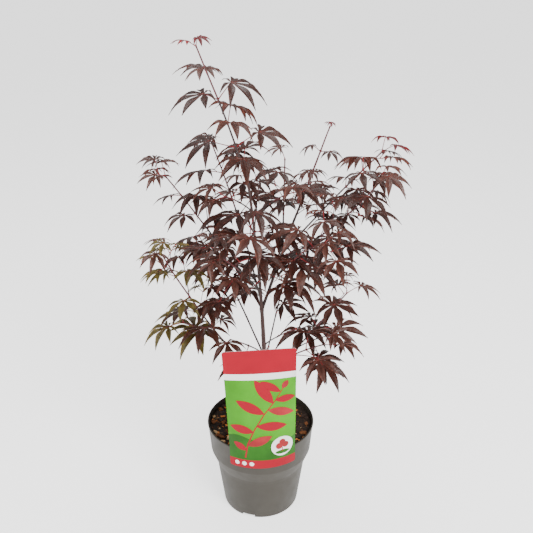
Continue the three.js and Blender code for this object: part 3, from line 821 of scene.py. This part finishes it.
def tube_mesh(path, radii, sides, across=UP):
    """A closed tube of rings along a path's points."""
    path = np.asarray(path)
    along = np.gradient(path, axis=0)
    along /= lengths(along)[:, None]
    u = np.cross(along, across)
    u /= lengths(u)[:, None]
    v = np.cross(along, u)
    turn = 2 * math.pi * np.arange(sides) / sides
    radii = np.broadcast_to(np.asarray(radii)[:, None] if np.ndim(radii) == 1 else radii, (len(path), sides))
    rings = path[:, None] + radii[..., None] * (
        np.cos(turn)[None, :, None] * u[:, None] + np.sin(turn)[None, :, None] * v[:, None]
    )
    faces = []
    for ring in range(0, (len(path) - 1) * sides, sides):
        for j in range(sides):
            k = (j + 1) % sides
            faces.append([ring + j, ring + k, ring + sides + k, ring + sides + j])
    last = (len(path) - 1) * sides
    faces.append(list(range(sides))[::-1])
    faces.append([last + j for j in range(sides)])
    return rings.reshape(-1, 3), faces


def stalk_mesh(leaf):
    """A thin bowed stalk, thicker at its foot and where it meets the blade."""
    root = leaf.foot - leaf.along * STALK.sunk
    line = leaf.hub - root
    bow = lengths(line) * STALK.bow * (noise(leaf.seed, LEAF_DRAWS["stalk"]) - STALK.hangs)
    shares = np.linspace(0, 1, len(STALK_RADII))
    path = root + np.outer(shares, line) + np.outer(4 * bow * shares * (1 - shares), UP)
    plump = mix(STALK.thinnest, 1, min(leaf.size / STALK.fullLeaf, 1))
    return tube_mesh(path, np.array(STALK_RADII) * plump, THIN_SIDES)


# Wood

LIMB = Named(
    full=1.25, tip=1.5, step=2.2, relief=0.06, uneven=34, wander=0.35, wanderSize=90, rooted=20,
    stout=2, stoutSides=12, sides=8, main=4,
)
# How far along a limb the older bark reaches
OLD_BARK = Named(main=0.685, side=0.604)
TRUNK_LIMB = Named(start=0.005, sides=24, step=1.6, seed=11, relief=0.05)
TRUNK_SCARS = [0.08, 0.16, 0.27, 0.41]
BOUGH_SCARS = [0.35, 0.8]
# A swelling's height and half its length
JOINT, TRUNK_SCAR, PAIR, SCAR, FOOT = (0.55, 4), (0.3, 1.6), (0.42, 2.2), (0.22, 1.4), (0.5, 5)
FOOT_AT = 2.5
TWIG_RINGS, TWIG_SIDES = 9, 8
BUD_PROFILE = [(0, 0.55), (0.2, 1), (0.45, 0.95), (0.75, 0.5), (1, 0.06)]
LIMB_BUD = Named(long=3.2, wide=0.75, lean=0.45, sunk=0.6)
TWIG_BUD = Named(long=2.6, wide=0.6, lean=0.4, sunk=0.5)
SIDE_BUD = Named(long=2.1, wide=0.6, lean=0.5, turn=14)
BARKS = [
    bark_material("bark_trunk", (0.066, 0.034, 0.03), 0.62),
    bark_material("bark_bough", (0.042, 0.023, 0.022), 0.55),
    bark_material("bark_young", (0.1, 0.022, 0.025), 0.45),
]
BUD = leaf_material("bud_scales", (0.32, 0.05, 0.045), 0.45)


def limb_radius(row, t):
    return LIMB.full * mix(row.thick / 2, LIMB.tip * TWIG.tip, t)


def limb_mesh(limb, start, radius_at, sides, step, swellings, seed, across=UP, relief=LIMB.relief):
    """A limb with a swelling at each leaf pair, and a little unevenness all along."""
    long = limb.length()
    count = max(6, int(long * (1 - start) / step))
    shares = np.linspace(start, 1, count)
    path = np.array([limb.at(t) for t in shares])
    radii = np.array([radius_at(t) for t in shares])
    for t, height, width in swellings:
        radii = radii + height * np.exp(-(((shares - t) * long) / width) ** 2)
    uneven = smooth_noise(path, LIMB.uneven, seed) * relief * radii
    turn = 2 * math.pi * np.arange(sides) / sides
    # Three and five ridges round the limb, which shift along it
    ripple = np.array([
        np.sin(turn * 3 + noise(seed, i // 3) * 6.3) * 0.4 + np.sin(turn * 5 + 0.35 * i) * 0.3
        for i in range(count)
    ])
    wander = [smooth_noise(path, LIMB.wanderSize, seed + k) for k in (5, 6, 7)]
    wander = np.column_stack(wander) * LIMB.wander
    wander *= np.clip((shares - start) * long / LIMB.rooted, 0, 1)[:, None]
    grown = (radii + uneven)[:, None] + ripple * relief * radii[:, None]
    return tube_mesh(path + wander, grown, sides, across)


def bud_mesh(foot, way, bud):
    shares, radii = np.array(BUD_PROFILE).T
    return tube_mesh(foot + np.outer(shares * bud.long, way), radii * bud.wide, THIN_SIDES)


def end_buds(path, spin, bud):
    """Two buds side by side at the tip of a limb or twig."""
    way = path.direction(1)
    for side in (-1, 1):
        lean = unit(way + bud.lean * side * sideways(way, spin))
        yield bud_mesh(path.at(1) - way * bud.sunk, lean, bud)


def pair_buds(mass):
    """A bud beside the foot of each leaf of a pair."""
    row, limb = mass.row, mass.limb
    for k, t in enumerate(mass.pairs_at[:-1]):
        along = limb.direction(t)
        for half in (0, 180):
            side = sideways(along, row.spin + 90 * k + half + SIDE_BUD.turn)
            foot = limb.at(t) + side * limb_radius(row, t)
            yield bud_mesh(foot, unit(side * SIDE_BUD.lean + along), SIDE_BUD)


def add_trunk(wood):
    swellings = [(row.at, *JOINT) for row in LIMBS if row.parent == "trunk"]
    swellings += [(t, *TRUNK_SCAR) for t in TRUNK_SCARS]
    wood.add(*limb_mesh(
        trunk, TRUNK_LIMB.start, trunk_radius, TRUNK_LIMB.sides, TRUNK_LIMB.step, swellings,
        TRUNK_LIMB.seed, np.array([0.0, 1.0, 0.0]), TRUNK_LIMB.relief,
    ))


def add_bough(wood, mass):
    row, limb = mass.row, mass.limb
    swellings = [(t, *PAIR) for t in mass.pairs_at]
    swellings += [(row.bare * share, *SCAR) for share in BOUGH_SCARS if row.bare]
    swellings.append((FOOT_AT / limb.length(), *FOOT))
    sides = LIMB.stoutSides if row.thick > LIMB.stout else LIMB.sides
    points, faces = limb_mesh(
        limb, 0, lambda t: limb_radius(row, t), sides, LIMB.step, swellings, row.seed
    )
    rings = (len(faces) - 2) // sides
    old = OLD_BARK.main if row.thick > LIMB.main else OLD_BARK.side
    looks = [1 if (i // sides) / rings < old else 2 for i in range(len(faces) - 2)]
    wood.add(points, faces, looks + [1, 2])


def add_twigs(shoots, mass):
    shares = np.linspace(0, 1, TWIG_RINGS)
    for twig in mass.twigs + mass.fine_twigs:
        plump = 1 if twig in mass.twigs else FINER.thick
        radii = [plump * mix(TWIG.foot, TWIG.tip, t) for t in shares]
        shoots.add(*tube_mesh([twig.at(t) for t in shares], radii, TWIG_SIDES))


def make_wood():
    wood, shoots, buds = Pile(), Pile(), Pile()
    add_trunk(wood)
    for mass in plant.values():
        add_bough(wood, mass)
        add_twigs(shoots, mass)
        spin = mass.row.spin
        groups = [end_buds(mass.limb, spin, LIMB_BUD), pair_buds(mass)]
        groups += [end_buds(twig, spin, TWIG_BUD) for twig in mass.twigs + mass.fine_twigs]
        for group in groups:
            for bud in group:
                buds.add(*bud)
    boughs = [f"bough_{row.name}" for row in LIMBS if row.bare]
    place("trunk_and_boughs", wood, BARKS, ["trunk"] + boughs, sharp=50)
    place("young_twigs", shoots, BARKS[2:])
    place("buds", buds, [BUD])


# Foliage

# Each look's upper side, its roughness and its underside
LEAF_LOOKS = {
    "dark": ((0.031, 0.0075, 0.004), 0.36, (0.09, 0.026, 0.018)),
    "plum": ((0.045, 0.012, 0.0068), 0.36, (0.12, 0.037, 0.026)),
    "rosy": ((0.066, 0.0205, 0.013), 0.4, (0.16, 0.052, 0.038)),
    "crimson": ((0.1, 0.004, 0.007), 0.42, (0.24, 0.016, 0.018)),
    "olive": ((0.085, 0.063, 0.01), 0.45, (0.19, 0.13, 0.035)),
}
LOOK_NAMES = list(LEAF_LOOKS)
STALK_RED = leaf_material("leaf_stalks", (0.2, 0.012, 0.016), 0.42, 0.25)
YOUNG_SPRAYS = ["top", "right_main", "right_back"]
REGIONS = {
    "top": ["top", "spur_left", "spur_right", "spur_back"],
    "left": ["left_mid", "left_high", "fork_left", "foot_left"],
    "olive": ["left_low", "left_side"],
    "right": ["right_low", "right_foot", "right_side", "foot_right", "right_front"],
    "far_right": ["right_back", "right_steep"],
    "young": ["right_main"],
    "front": ["spur_front", "fork_front", "foot_front", "front_right", "front_left"],
    "rear": ["fork_back", "rear_high", "rear_right", "rear_left", "rear_low"],
}
# How young a leaf is that has a young colour for sure, or in a share of cases
YOUNG = Named(all=0.25, some=0.12, share=0.5)
# A leaf's draw below which it has the look
OLIVE_BELOW, ROSY_BELOW, PLUM_BELOW = 0.7, 0.22, 0.6


def look_of(leaf, name):
    chance = noise(leaf.seed, LEAF_DRAWS["look"])
    if leaf.young > YOUNG.all:
        return "crimson" if name in YOUNG_SPRAYS else "rosy"
    if name in REGIONS["olive"]:
        return "olive" if chance < OLIVE_BELOW else "plum"
    if chance < (YOUNG.share if leaf.young > YOUNG.some else ROSY_BELOW):
        return "rosy"
    return "plum" if chance < PLUM_BELOW else "dark"


def leaf_materials():
    """Each look's upper side and underside in turn, and the ribs' last."""
    for look, (colour, roughness, below) in LEAF_LOOKS.items():
        yield leaf_material(f"leaf_{look}", colour, roughness)
        yield leaf_material(f"underside_{look}", below, 0.6, 0.12)
    yield leaf_material("leaf_ribs", (0.2, 0.05, 0.04), 0.45, 0.3)


def make_foliage():
    materials = list(leaf_materials())
    rib_look = len(materials) - 1
    for region, names in REGIONS.items():
        blades, stalks = Pile(), Pile()
        for name in names:
            for leaf in plant[name].leaves:
                mesh = FINE_BLADE if leaf.size > FINE_FROM else COARSE_BLADE
                look = LOOK_NAMES.index(look_of(leaf, name))
                looks = [rib_look if side == 2 else 2 * look + side for side in mesh.looks]
                blades.add(blade_points(leaf, mesh), mesh.faces, looks)
                stalks.add(*stalk_mesh(leaf))
        place(f"foliage_{region}", blades, materials, [f"leaves_{n}" for n in names], sharp=24)
        place(f"stalks_{region}", stalks, [STALK_RED])


# Pot and compost

# Where the pot's side bends, as outer radius and height
BENDS = [(POT.body, POT.bodyHeight), (POT.neck, POT.neckHeight), (POT.bandFoot, POT.bandHeight)]
INNER_FLOOR = UNDERSIDE.base + POT.floor
EDGE_ROUND = 1.4
NOTCH_ROUND = 1.2
POT_SIDES = 160


def turned(profile, sides):
    """A closed body turned round the axis from a profile that starts and ends on the axis."""
    points = [(0, 0, profile[0][1]), (0, 0, profile[-1][1])]
    rings = profile[1:-1]
    for radius, height in rings:
        points += [(*(radius * polar(360 * j / sides)), height) for j in range(sides)]
    faces = []
    for j in range(sides):
        k = (j + 1) % sides
        faces.append([0, 2 + k, 2 + j])
        for i in range(len(rings) - 1):
            a, b = 2 + i * sides, 2 + (i + 1) * sides
            faces.append([a + j, a + k, b + k, b + j])
        last = 2 + (len(rings) - 1) * sides
        faces.append([1, last + j, last + k])
    return np.array(points, float), faces


def rounded(profile, radius, steps=4):
    """A profile with its inner corners rounded off, no more than each side's length allows."""
    soft = [profile[0]]
    for before, corner, after in zip(profile, profile[1:], profile[2:]):
        a, b, c = (np.array(p, float) for p in (before, corner, after))
        cut = min(radius, 0.45 * np.linalg.norm(a - b), 0.45 * np.linalg.norm(c - b))
        start, end = b + unit(a - b) * cut, b + unit(c - b) * cut
        for i in range(steps + 1):
            t = i / steps
            soft.append(tuple(mix(mix(start, b, t), mix(b, end, t), t)))
    return soft + [profile[-1]]


def pot_material():
    grey = (0.038, 0.033, 0.025)
    made = material("pot_plastic", grey, 0.55, 0.3)
    cloud = noise_node(made, 14, 4, (1, 1, 0.5))
    vary_colour(made, cloud, grey, [(0.3, 0.9), (0.7, 1.1)])
    vary_roughness(made, noise_node(made, 60, 3), 0.46, 0.66)
    grain = bump(made, noise_node(made, 1400, 3), 0.05, 0.5)
    bump(made, noise_node(made, 40, 2, (1, 1, 0.15)), 0.25, 0.35, grain)
    return made


def cut_notch(pot, turn):
    """Cuts one of the drain's notches out of the pot's foot."""
    box = bmesh.new()
    bmesh.ops.create_cube(box, size=1)
    reach = POT.foot + POT.corner - DRAIN.depth / 2
    size = Matrix.Diagonal((DRAIN.depth * MM, DRAIN.width * MM, 2 * DRAIN.height * MM, 1))
    box.transform(Matrix.Rotation(turn, 4, "Z") @ Matrix.Translation((reach * MM, 0, 0)) @ size)
    level = [e for e in box.edges if abs(e.verts[0].co.z - e.verts[1].co.z) < 1e-6]
    bmesh.ops.bevel(box, geom=level, offset=NOTCH_ROUND * MM, segments=3, affect="EDGES", profile=0.5)
    cutter_mesh = bpy.data.meshes.new("notch")
    box.to_mesh(cutter_mesh)
    box.free()
    cutter = add_object("notch", cutter_mesh)
    cut = pot.modifiers.new("notch", "BOOLEAN")
    cut.operation = "DIFFERENCE"
    cut.solver = "EXACT"
    cut.object = cutter
    apply_modifiers(pot)
    bpy.data.objects.remove(cutter)


def apply_modifiers(piece):
    bpy.context.view_layer.update()
    graph = bpy.context.evaluated_depsgraph_get()
    done = bpy.data.meshes.new_from_object(piece.evaluated_get(graph))
    piece.modifiers.clear()
    piece.data = done


def make_pot():
    under_lip = POT.height - POT.lip
    ring = POT.foot - UNDERSIDE.ring
    under = [(0, UNDERSIDE.base), (ring, UNDERSIDE.base), (ring, 0)]
    outer = [(POT.foot - POT.corner, 0), (POT.foot, POT.corner), *BENDS]
    outer += [(POT.band, under_lip), (POT.rim, under_lip), (POT.rim, POT.height)]
    inner = [(POT.foot - POT.wall, INNER_FLOOR), *((radius - POT.wall, height) for radius, height in BENDS)]
    inner.append((POT.band - POT.wall, POT.height))
    pile = Pile()
    pile.add(*turned(rounded(under + outer + inner[::-1] + [(0, INNER_FLOOR)], EDGE_ROUND), POT_SIDES))
    pot = place("pot_shell", pile, [pot_material()], ["pot"])
    for i in range(DRAIN.count):
        cut_notch(pot, math.radians(DRAIN.first + 360 * i / DRAIN.count))
    soften(pot.data, 35)


COMPOST = Named(rings=44, sides=132, floorGap=0.5, wallGap=0.4, edgeGap=0.3, slope=42, sunk=1)
# Height, size and seed of the compost's waves
COMPOST_WAVES = [(0.9, 26, 3), (0.5, 9, 4)]


def compost_height(x, y):
    """The compost's uneven top at a place in the pot."""
    points = np.column_stack([np.ravel(x), np.ravel(y), np.zeros(np.size(x))])
    radius = np.hypot(points[:, 0], points[:, 1])
    edge = np.clip((radius - SOIL.flat) / COMPOST.slope, 0, 1)
    waves = sum(height * smooth_noise(points, size, seed) for height, size, seed in COMPOST_WAVES)
    return SOIL.level - COMPOST.sunk - (SOIL.edgeDrop - COMPOST.sunk) * edge + waves


def band_inside(height):
    """The pot's inner radius at a height in its rim band."""
    share = (height - POT.bandHeight) / (POT.height - POT.bandHeight)
    return mix(POT.bandFoot, POT.band, share) - POT.wall


def make_compost():
    dark = (0.019, 0.0105, 0.006)
    soil = material("compost", dark, 0.7, 0.35)
    crumbs = noise_node(soil, 420, 6, roughness=0.7)
    vary_colour(soil, crumbs, dark, [(0.35, 0.45), (0.55, 1), (0.75, (0.06, 0.03, 0.014))])
    bump(soil, crumbs, 1.6)
    inner = band_inside(SOIL.level - SOIL.edgeDrop) - COMPOST.edgeGap
    bottom = INNER_FLOOR + COMPOST.floorGap
    profile = [(0, bottom), (POT.foot - POT.wall - COMPOST.floorGap, bottom)]
    profile += [(radius - POT.wall - COMPOST.wallGap, height) for radius, height in BENDS]
    profile += [(inner * (1 - i / COMPOST.rings), SOIL.level) for i in range(COMPOST.rings)]
    points, faces = turned(profile + [(0, SOIL.level)], COMPOST.sides)
    high = points[:, 2] > SOIL.level - COMPOST.sunk
    points[high, 2] = compost_height(points[high, 0], points[high, 1])
    bed = Pile()
    bed.add(points, faces)
    place("compost_bed", bed, [soil], ["soil"])
    make_chips(inner)


CHIPS = Named(
    count=900, least=1.8, more=9, power=2.2, seed=77, clear=9, wide=(0.35, 0.8), thick=(0.15, 0.4),
    jitter=0.5, tip=0.7, edge=1,
)
# A chip's draw above which it is brown, orange or pale
CHIP_LOOKS = [0.58, 0.82, 0.965]
CHIP_CORNERS = np.array([(x, y, z) for x in (-1, 1) for y in (-1, 1) for z in (-1, 1)], float)
CHIP_FACES = [[0, 1, 3, 2], [4, 6, 7, 5], [0, 4, 5, 1], [2, 3, 7, 6], [0, 2, 6, 4], [1, 5, 7, 3]]
FIBRES = Named(count=90, seed=2387, edge=12, long=(6, 20), bend=(-1, 1), lift=0.8, rise=1.2)
FIBRE_RADII = [0.12, 0.22, 0.25, 0.25, 0.2, 0.1]


def make_chips(inner):
    """Bits of bark and fibre that lie on the compost."""
    looks = [
        bark_material("chip_dark", (0.03, 0.015, 0.009), 0.7),
        bark_material("chip_brown", (0.17, 0.06, 0.018), 0.8),
        bark_material("chip_orange", (0.6, 0.2, 0.04), 0.75),
        bark_material("chip_pale", (0.7, 0.47, 0.24), 0.8),
    ]
    pile = Pile()
    for i in range(CHIPS.count):
        add_chip(pile, inner, CHIPS.seed + i)
    for i in range(FIBRES.count):
        pile.add(*fibre_mesh(inner, FIBRES.seed + i), 3 if i % 3 else 2)
    place("bark_chips", pile, looks, sharp=20)


def add_chip(pile, inner, seed):
    """Adds a rough block to the pile, unless it would lie against the trunk."""
    def draw(number):
        return noise(seed, number)

    long = CHIPS.least + CHIPS.more * draw(0) ** CHIPS.power
    size = long / 2 * np.array([1, mix(*CHIPS.wide, draw(1)), mix(*CHIPS.thick, draw(2))])
    x, y = (inner - CHIPS.edge - long / 2) * math.sqrt(draw(3)) * polar(360 * draw(4))
    if math.hypot(x - TRUNK.foot, y) < CHIPS.clear:
        return
    jitter = np.array([[draw(10 + 3 * corner + k) for k in range(3)] for corner in range(8)])
    points = (CHIP_CORNERS + CHIPS.jitter * (jitter - 0.5)) * size
    tipped = Matrix.Rotation(CHIPS.tip * (draw(6) - 0.5), 3, "X")
    turn = Matrix.Rotation(2 * math.pi * draw(5), 3, "Z") @ tipped
    z = compost_height(x, y)[0] + size[2] / 2
    pile.add(points @ np.array(turn).T + (x, y, z), CHIP_FACES, sum(draw(8) > least for least in CHIP_LOOKS))


def fibre_mesh(inner, seed):
    """A thin bent fibre that lies on the compost."""
    x, y = (inner - FIBRES.edge) * math.sqrt(noise(seed, 0)) * polar(360 * noise(seed, 1))
    long, bend = mix(*FIBRES.long, noise(seed, 2)), mix(*FIBRES.bend, noise(seed, 4))
    shares = np.linspace(-0.5, 0.5, len(FIBRE_RADII))
    turn = 2 * math.pi * noise(seed, 3) + bend * shares
    x = x + long * np.cos(turn) * shares
    y = y + long * np.sin(turn) * shares
    z = compost_height(x, y) + FIBRES.lift + FIBRES.rise * noise(seed, 5) * (shares + 0.5)
    return tube_mesh(np.column_stack([x, y, z]), FIBRE_RADII, 4)


# Card

CARD_CORNER, CARD_HEADER, CARD_STRIP, CARD_FOOTER = 4, 44, 12, 17
CARD_CUTS = [(CARD.width, 30, (1, 0, 0)), (CARD.height, 20, (0, 0, 1))]
PRINT_LIFT = 0.12
PRINT_GAP = 0.02
SPRIG_STEM = [(-30, -96), (-25, -68), (-13, -38), (5, -6), (24, 20), (38, 44)]
SPRIG_WIDTHS = (2.6, 2.4, 2.2, 2, 1.7, 1.2)
# Each leaf's foot, length, width and turn
SPRIG_LEAVES = [
    (-27, -80, 27, 13, 148), (-25, -70, 46, 17, 24), (-14, -42, 42, 17, 166), (-9, -30, 52, 18, -3),
    (5, -6, 54, 19, 150), (11, 2, 46, 17, -13), (20, 14, 56, 19, 122), (24, 20, 34, 14, 6),
    (33, 36, 40, 14, 146), (36, 42, 18, 10, 58),
]


def on_card(u, w, out):
    """A point in front of the card's middle sheet: u to its right and w up from its middle."""
    c, s = polar(CARD.tilt)
    x, y, z = in_space(u * c - w * s + CARD.shift, u * s + w * c + CARD.foot + CARD.height / 2)
    return x, y - out, z


def card_sheet(name, outlines, back, front, looks, materials, replaced=()):
    """Sheets between two distances in front of the card's middle, cut fine enough to follow its bend."""
    sheet = bmesh.new()
    for outline, look in zip(outlines, looks):
        face = sheet.faces.new([sheet.verts.new((u, 0, w)) for u, w in outline])
        face.material_index = look
    for long, count, way in CARD_CUTS:
        for i in range(1, count):
            cut = -long / 2 + long * i / count
            bmesh.ops.bisect_plane(sheet, geom=sheet.verts[:] + sheet.edges[:] + sheet.faces[:],
                                   plane_co=[cut * c for c in way], plane_no=way)
    bmesh.ops.recalc_face_normals(sheet, faces=sheet.faces[:])
    for face in sheet.faces:
        if face.normal.y > 0:
            face.normal_flip()
    fronts = sheet.faces[:]
    back_side = bmesh.ops.extrude_face_region(sheet, geom=fronts, use_keep_orig=True)
    moved = {v for v in back_side["geom"] if isinstance(v, bmesh.types.BMVert)}
    for face in [f for f in back_side["geom"] if isinstance(f, bmesh.types.BMFace)]:
        face.normal_flip()
    for vert in sheet.verts:
        vert.co = [MM * c for c in on_card(vert.co.x, vert.co.z, back if vert in moved else front)]
    bmesh.ops.triangulate(sheet, faces=[f for f in sheet.faces if len(f.verts) > 4])
    bmesh.ops.recalc_face_normals(sheet, faces=sheet.faces[:])
    mesh = bpy.data.meshes.new(name)
    sheet.to_mesh(mesh)
    sheet.free()
    finish_piece(name, mesh, materials, replaced, 35)


def block(left, low, right, high, corners=(0, 0, 0, 0), steps=6):
    """A rectangle with its corners rounded, from the lower left one round by the lower right."""
    outline = []
    centres = [
        (left, low, 1, 1, 180), (right, low, -1, 1, 270), (right, high, -1, -1, 0), (left, high, 1, -1, 90),
    ]
    for (x, y, sx, sy, start), radius in zip(centres, corners):
        if not radius:
            outline.append((x, y))
            continue
        for i in range(steps + 1):
            c, s = polar(start + 90 * i / steps)
            outline.append((x + radius * (sx + c), y + radius * (sy + s)))
    return outline


def disc(x, y, radius, squash=1, steps=28):
    return [(x, y) + radius * np.array([1, squash]) * polar(360 * i / steps) for i in range(steps)]


def oval_leaf(x, y, long, wide, turn, steps=10):
    """A plain pointed leaf, from its foot."""
    c, s = polar(turn)
    shares = [i / steps for i in range(steps + 1)]
    flank = [(t * long, wide * math.sin(math.pi * t) ** 0.8 / 2) for t in shares]
    outline = flank + [(a, -b) for a, b in flank[-2:0:-1]]
    return [(x + c * a - s * b, y + s * a + c * b) for a, b in outline][::-1]


def branch(points, widths):
    """A bent band through points, of the given widths."""
    path = np.array(points, float)
    along = np.gradient(path, axis=0)
    side = np.column_stack([-along[:, 1], along[:, 0]]) / lengths(along)[:, None]
    half = np.array(widths)[:, None] / 2
    return [tuple(p) for p in np.vstack([path - side * half, (path + side * half)[::-1]])]


def hill(left, right, low, high, waves, steps=40):
    """A field with a wavy top edge."""
    shares = [i / steps for i in range(steps + 1)]
    crest = [(mix(left, right, t), high + waves * math.sin(5.2 * t + 0.8) + 0.4 * waves * math.sin(13 * t))
             for t in shares]
    return [(left, low), (right, low)] + crest[::-1]


def print_material(name, colour, mottled, scale=25):
    made = material(name, colour, 0.4, 0.12)
    clouds = noise_node(made, scale, 4)
    vary_colour(made, clouds, colour, [(0.35, 1 - mottled), (0.65, 1 + mottled)])
    vary_roughness(made, noise_node(made, 30, 3), 0.3, 0.44)
    bump(made, noise_node(made, 12, 2), 0.2, 0.4)
    return made


def card_bands(half, high, foot):
    """The header, the field below it and the footer, with a white strip left under the header."""
    top = high - CARD_HEADER
    return [
        block(-half, top, half, high, (0, 0, CARD_CORNER, CARD_CORNER)),
        block(-half, foot, half, top - CARD_STRIP),
        block(-half, -high, half, foot, (CARD_CORNER, CARD_CORNER, 0, 0)),
    ]


def printed(name, outlines, looks, layer, materials):
    """Outlines printed as one layer, each on the layer before."""
    back = CARD.thick / 2 + PRINT_LIFT * layer
    card_sheet(name, outlines, back + PRINT_GAP, back + PRINT_LIFT, looks, materials)


def make_card():
    white = print_material("card_white", (0.84, 0.83, 0.8), 0.02)
    red = print_material("card_red", (0.3, 0.0, 0.012), 0.06)
    green = print_material("card_green", (0.05, 0.27, 0.003), 0.22, 14)
    moss = print_material("card_moss", (0.02, 0.12, 0.006), 0.3, 18)
    rose = print_material("card_rose", (0.3, 0.016, 0.02), 0.2, 40)
    half, high = CARD.width / 2, CARD.height / 2
    foot = CARD_FOOTER - high
    face = block(-half, -high, half, high, (CARD_CORNER,) * 4)
    card_sheet("plant_card_sheet", [face], -CARD.thick / 2, CARD.thick / 2, [0], [white], ["plant_card"])
    printed("card_bands", card_bands(half, high, foot), [0, 1, 0], 0, [red, green])
    printed("card_ground", [hill(-half, half, foot, -58, 6)], [0], 1, [moss])
    sprig = [oval_leaf(*leaf) for leaf in SPRIG_LEAVES]
    printed("card_sprig", [branch(SPRIG_STEM, SPRIG_WIDTHS)] + sprig[0::2], [0] * 6, 2, [red])
    printed("card_sprig_2", sprig[1::2], [1, 0, 1, 0, 1], 3, [red, rose])
    x, y = half - 25, foot + 25
    printed("card_medal", [disc(x, y, 20)], [0], 3, [white])
    crown = [disc(x - 5.5, y + 1, 6.4), disc(x + 5.5, y + 2, 6), disc(x, y + 9, 5.6)]
    tree = [disc(x, y - 12, 13, 0.3), branch([(x, y - 12), (x, y - 7), (x, y - 3)], (2, 1.6, 1.6))]
    printed("card_tree", tree + crown, [0, 1, 1, 1, 1], 4, [moss, rose])
    dots = [disc(-half + 14 + 13 * k, -high + CARD_FOOTER / 2 + 0.5, 4) for k in range(3)]
    printed("card_dots", dots, [0] * 3, 1, [white])


# Stage, light and camera

FLOOR_REACH = 12
# Each light's place, size and power
LIGHTS = {
    "key": ((0.9, -1.5, 1.7), 1.0, 62),
    "fill": ((-1.4, -1.3, 0.8), 1.2, 14),
    "top": ((-0.2, 0.5, 2.3), 1.3, 26),
}
LIT = Vector((0, 0, 0.45))
WHITE = (1, 1, 1, 1)
CAMERA = Named(x=10.6, y=-1150, z=1010, down=25.08, lens=52.4, sensor=36)


def make_stage():
    floor_mesh = bpy.data.meshes.new("floor")
    corners = [(FLOOR_REACH * x, FLOOR_REACH * y, 0) for x, y in ((-1, -1), (1, -1), (1, 1), (-1, 1))]
    floor_mesh.from_pydata(corners, [], [(0, 1, 2, 3)])
    floor = add_object("floor", floor_mesh)
    floor_look = material("floor", (0.9, 0.9, 0.9), 0.9, 0.1)
    set_inputs(shader_of(floor_look), Emission_Color=WHITE, Emission_Strength=1.5)
    floor_mesh.materials.append(floor_look)
    world = bpy.data.worlds.new("studio")
    world.use_nodes = True
    set_inputs(world.node_tree.nodes["Background"], Color=WHITE, Strength=0.5)
    bpy.context.scene.world = world


def make_lights():
    for name, (spot, size, power) in LIGHTS.items():
        data = bpy.data.lights.new(name, "AREA")
        data.size = size
        data.energy = power
        light = add_object(name, data)
        light.location = spot
        light.rotation_euler = (Vector(spot) - LIT).to_track_quat("Z", "Y").to_euler()


def make_camera():
    data = bpy.data.cameras.new("camera")
    data.lens = CAMERA.lens
    data.sensor_width = CAMERA.sensor
    camera = add_object("camera", data)
    camera.location = [MM * c for c in (CAMERA.x, CAMERA.y, CAMERA.z)]
    camera.rotation_euler = (math.radians(90 - CAMERA.down), 0, 0)
    bpy.context.scene.camera = camera


make_camera()
make_stage()
make_lights()
make_pot()
make_compost()
make_card()
make_wood()
make_foliage()
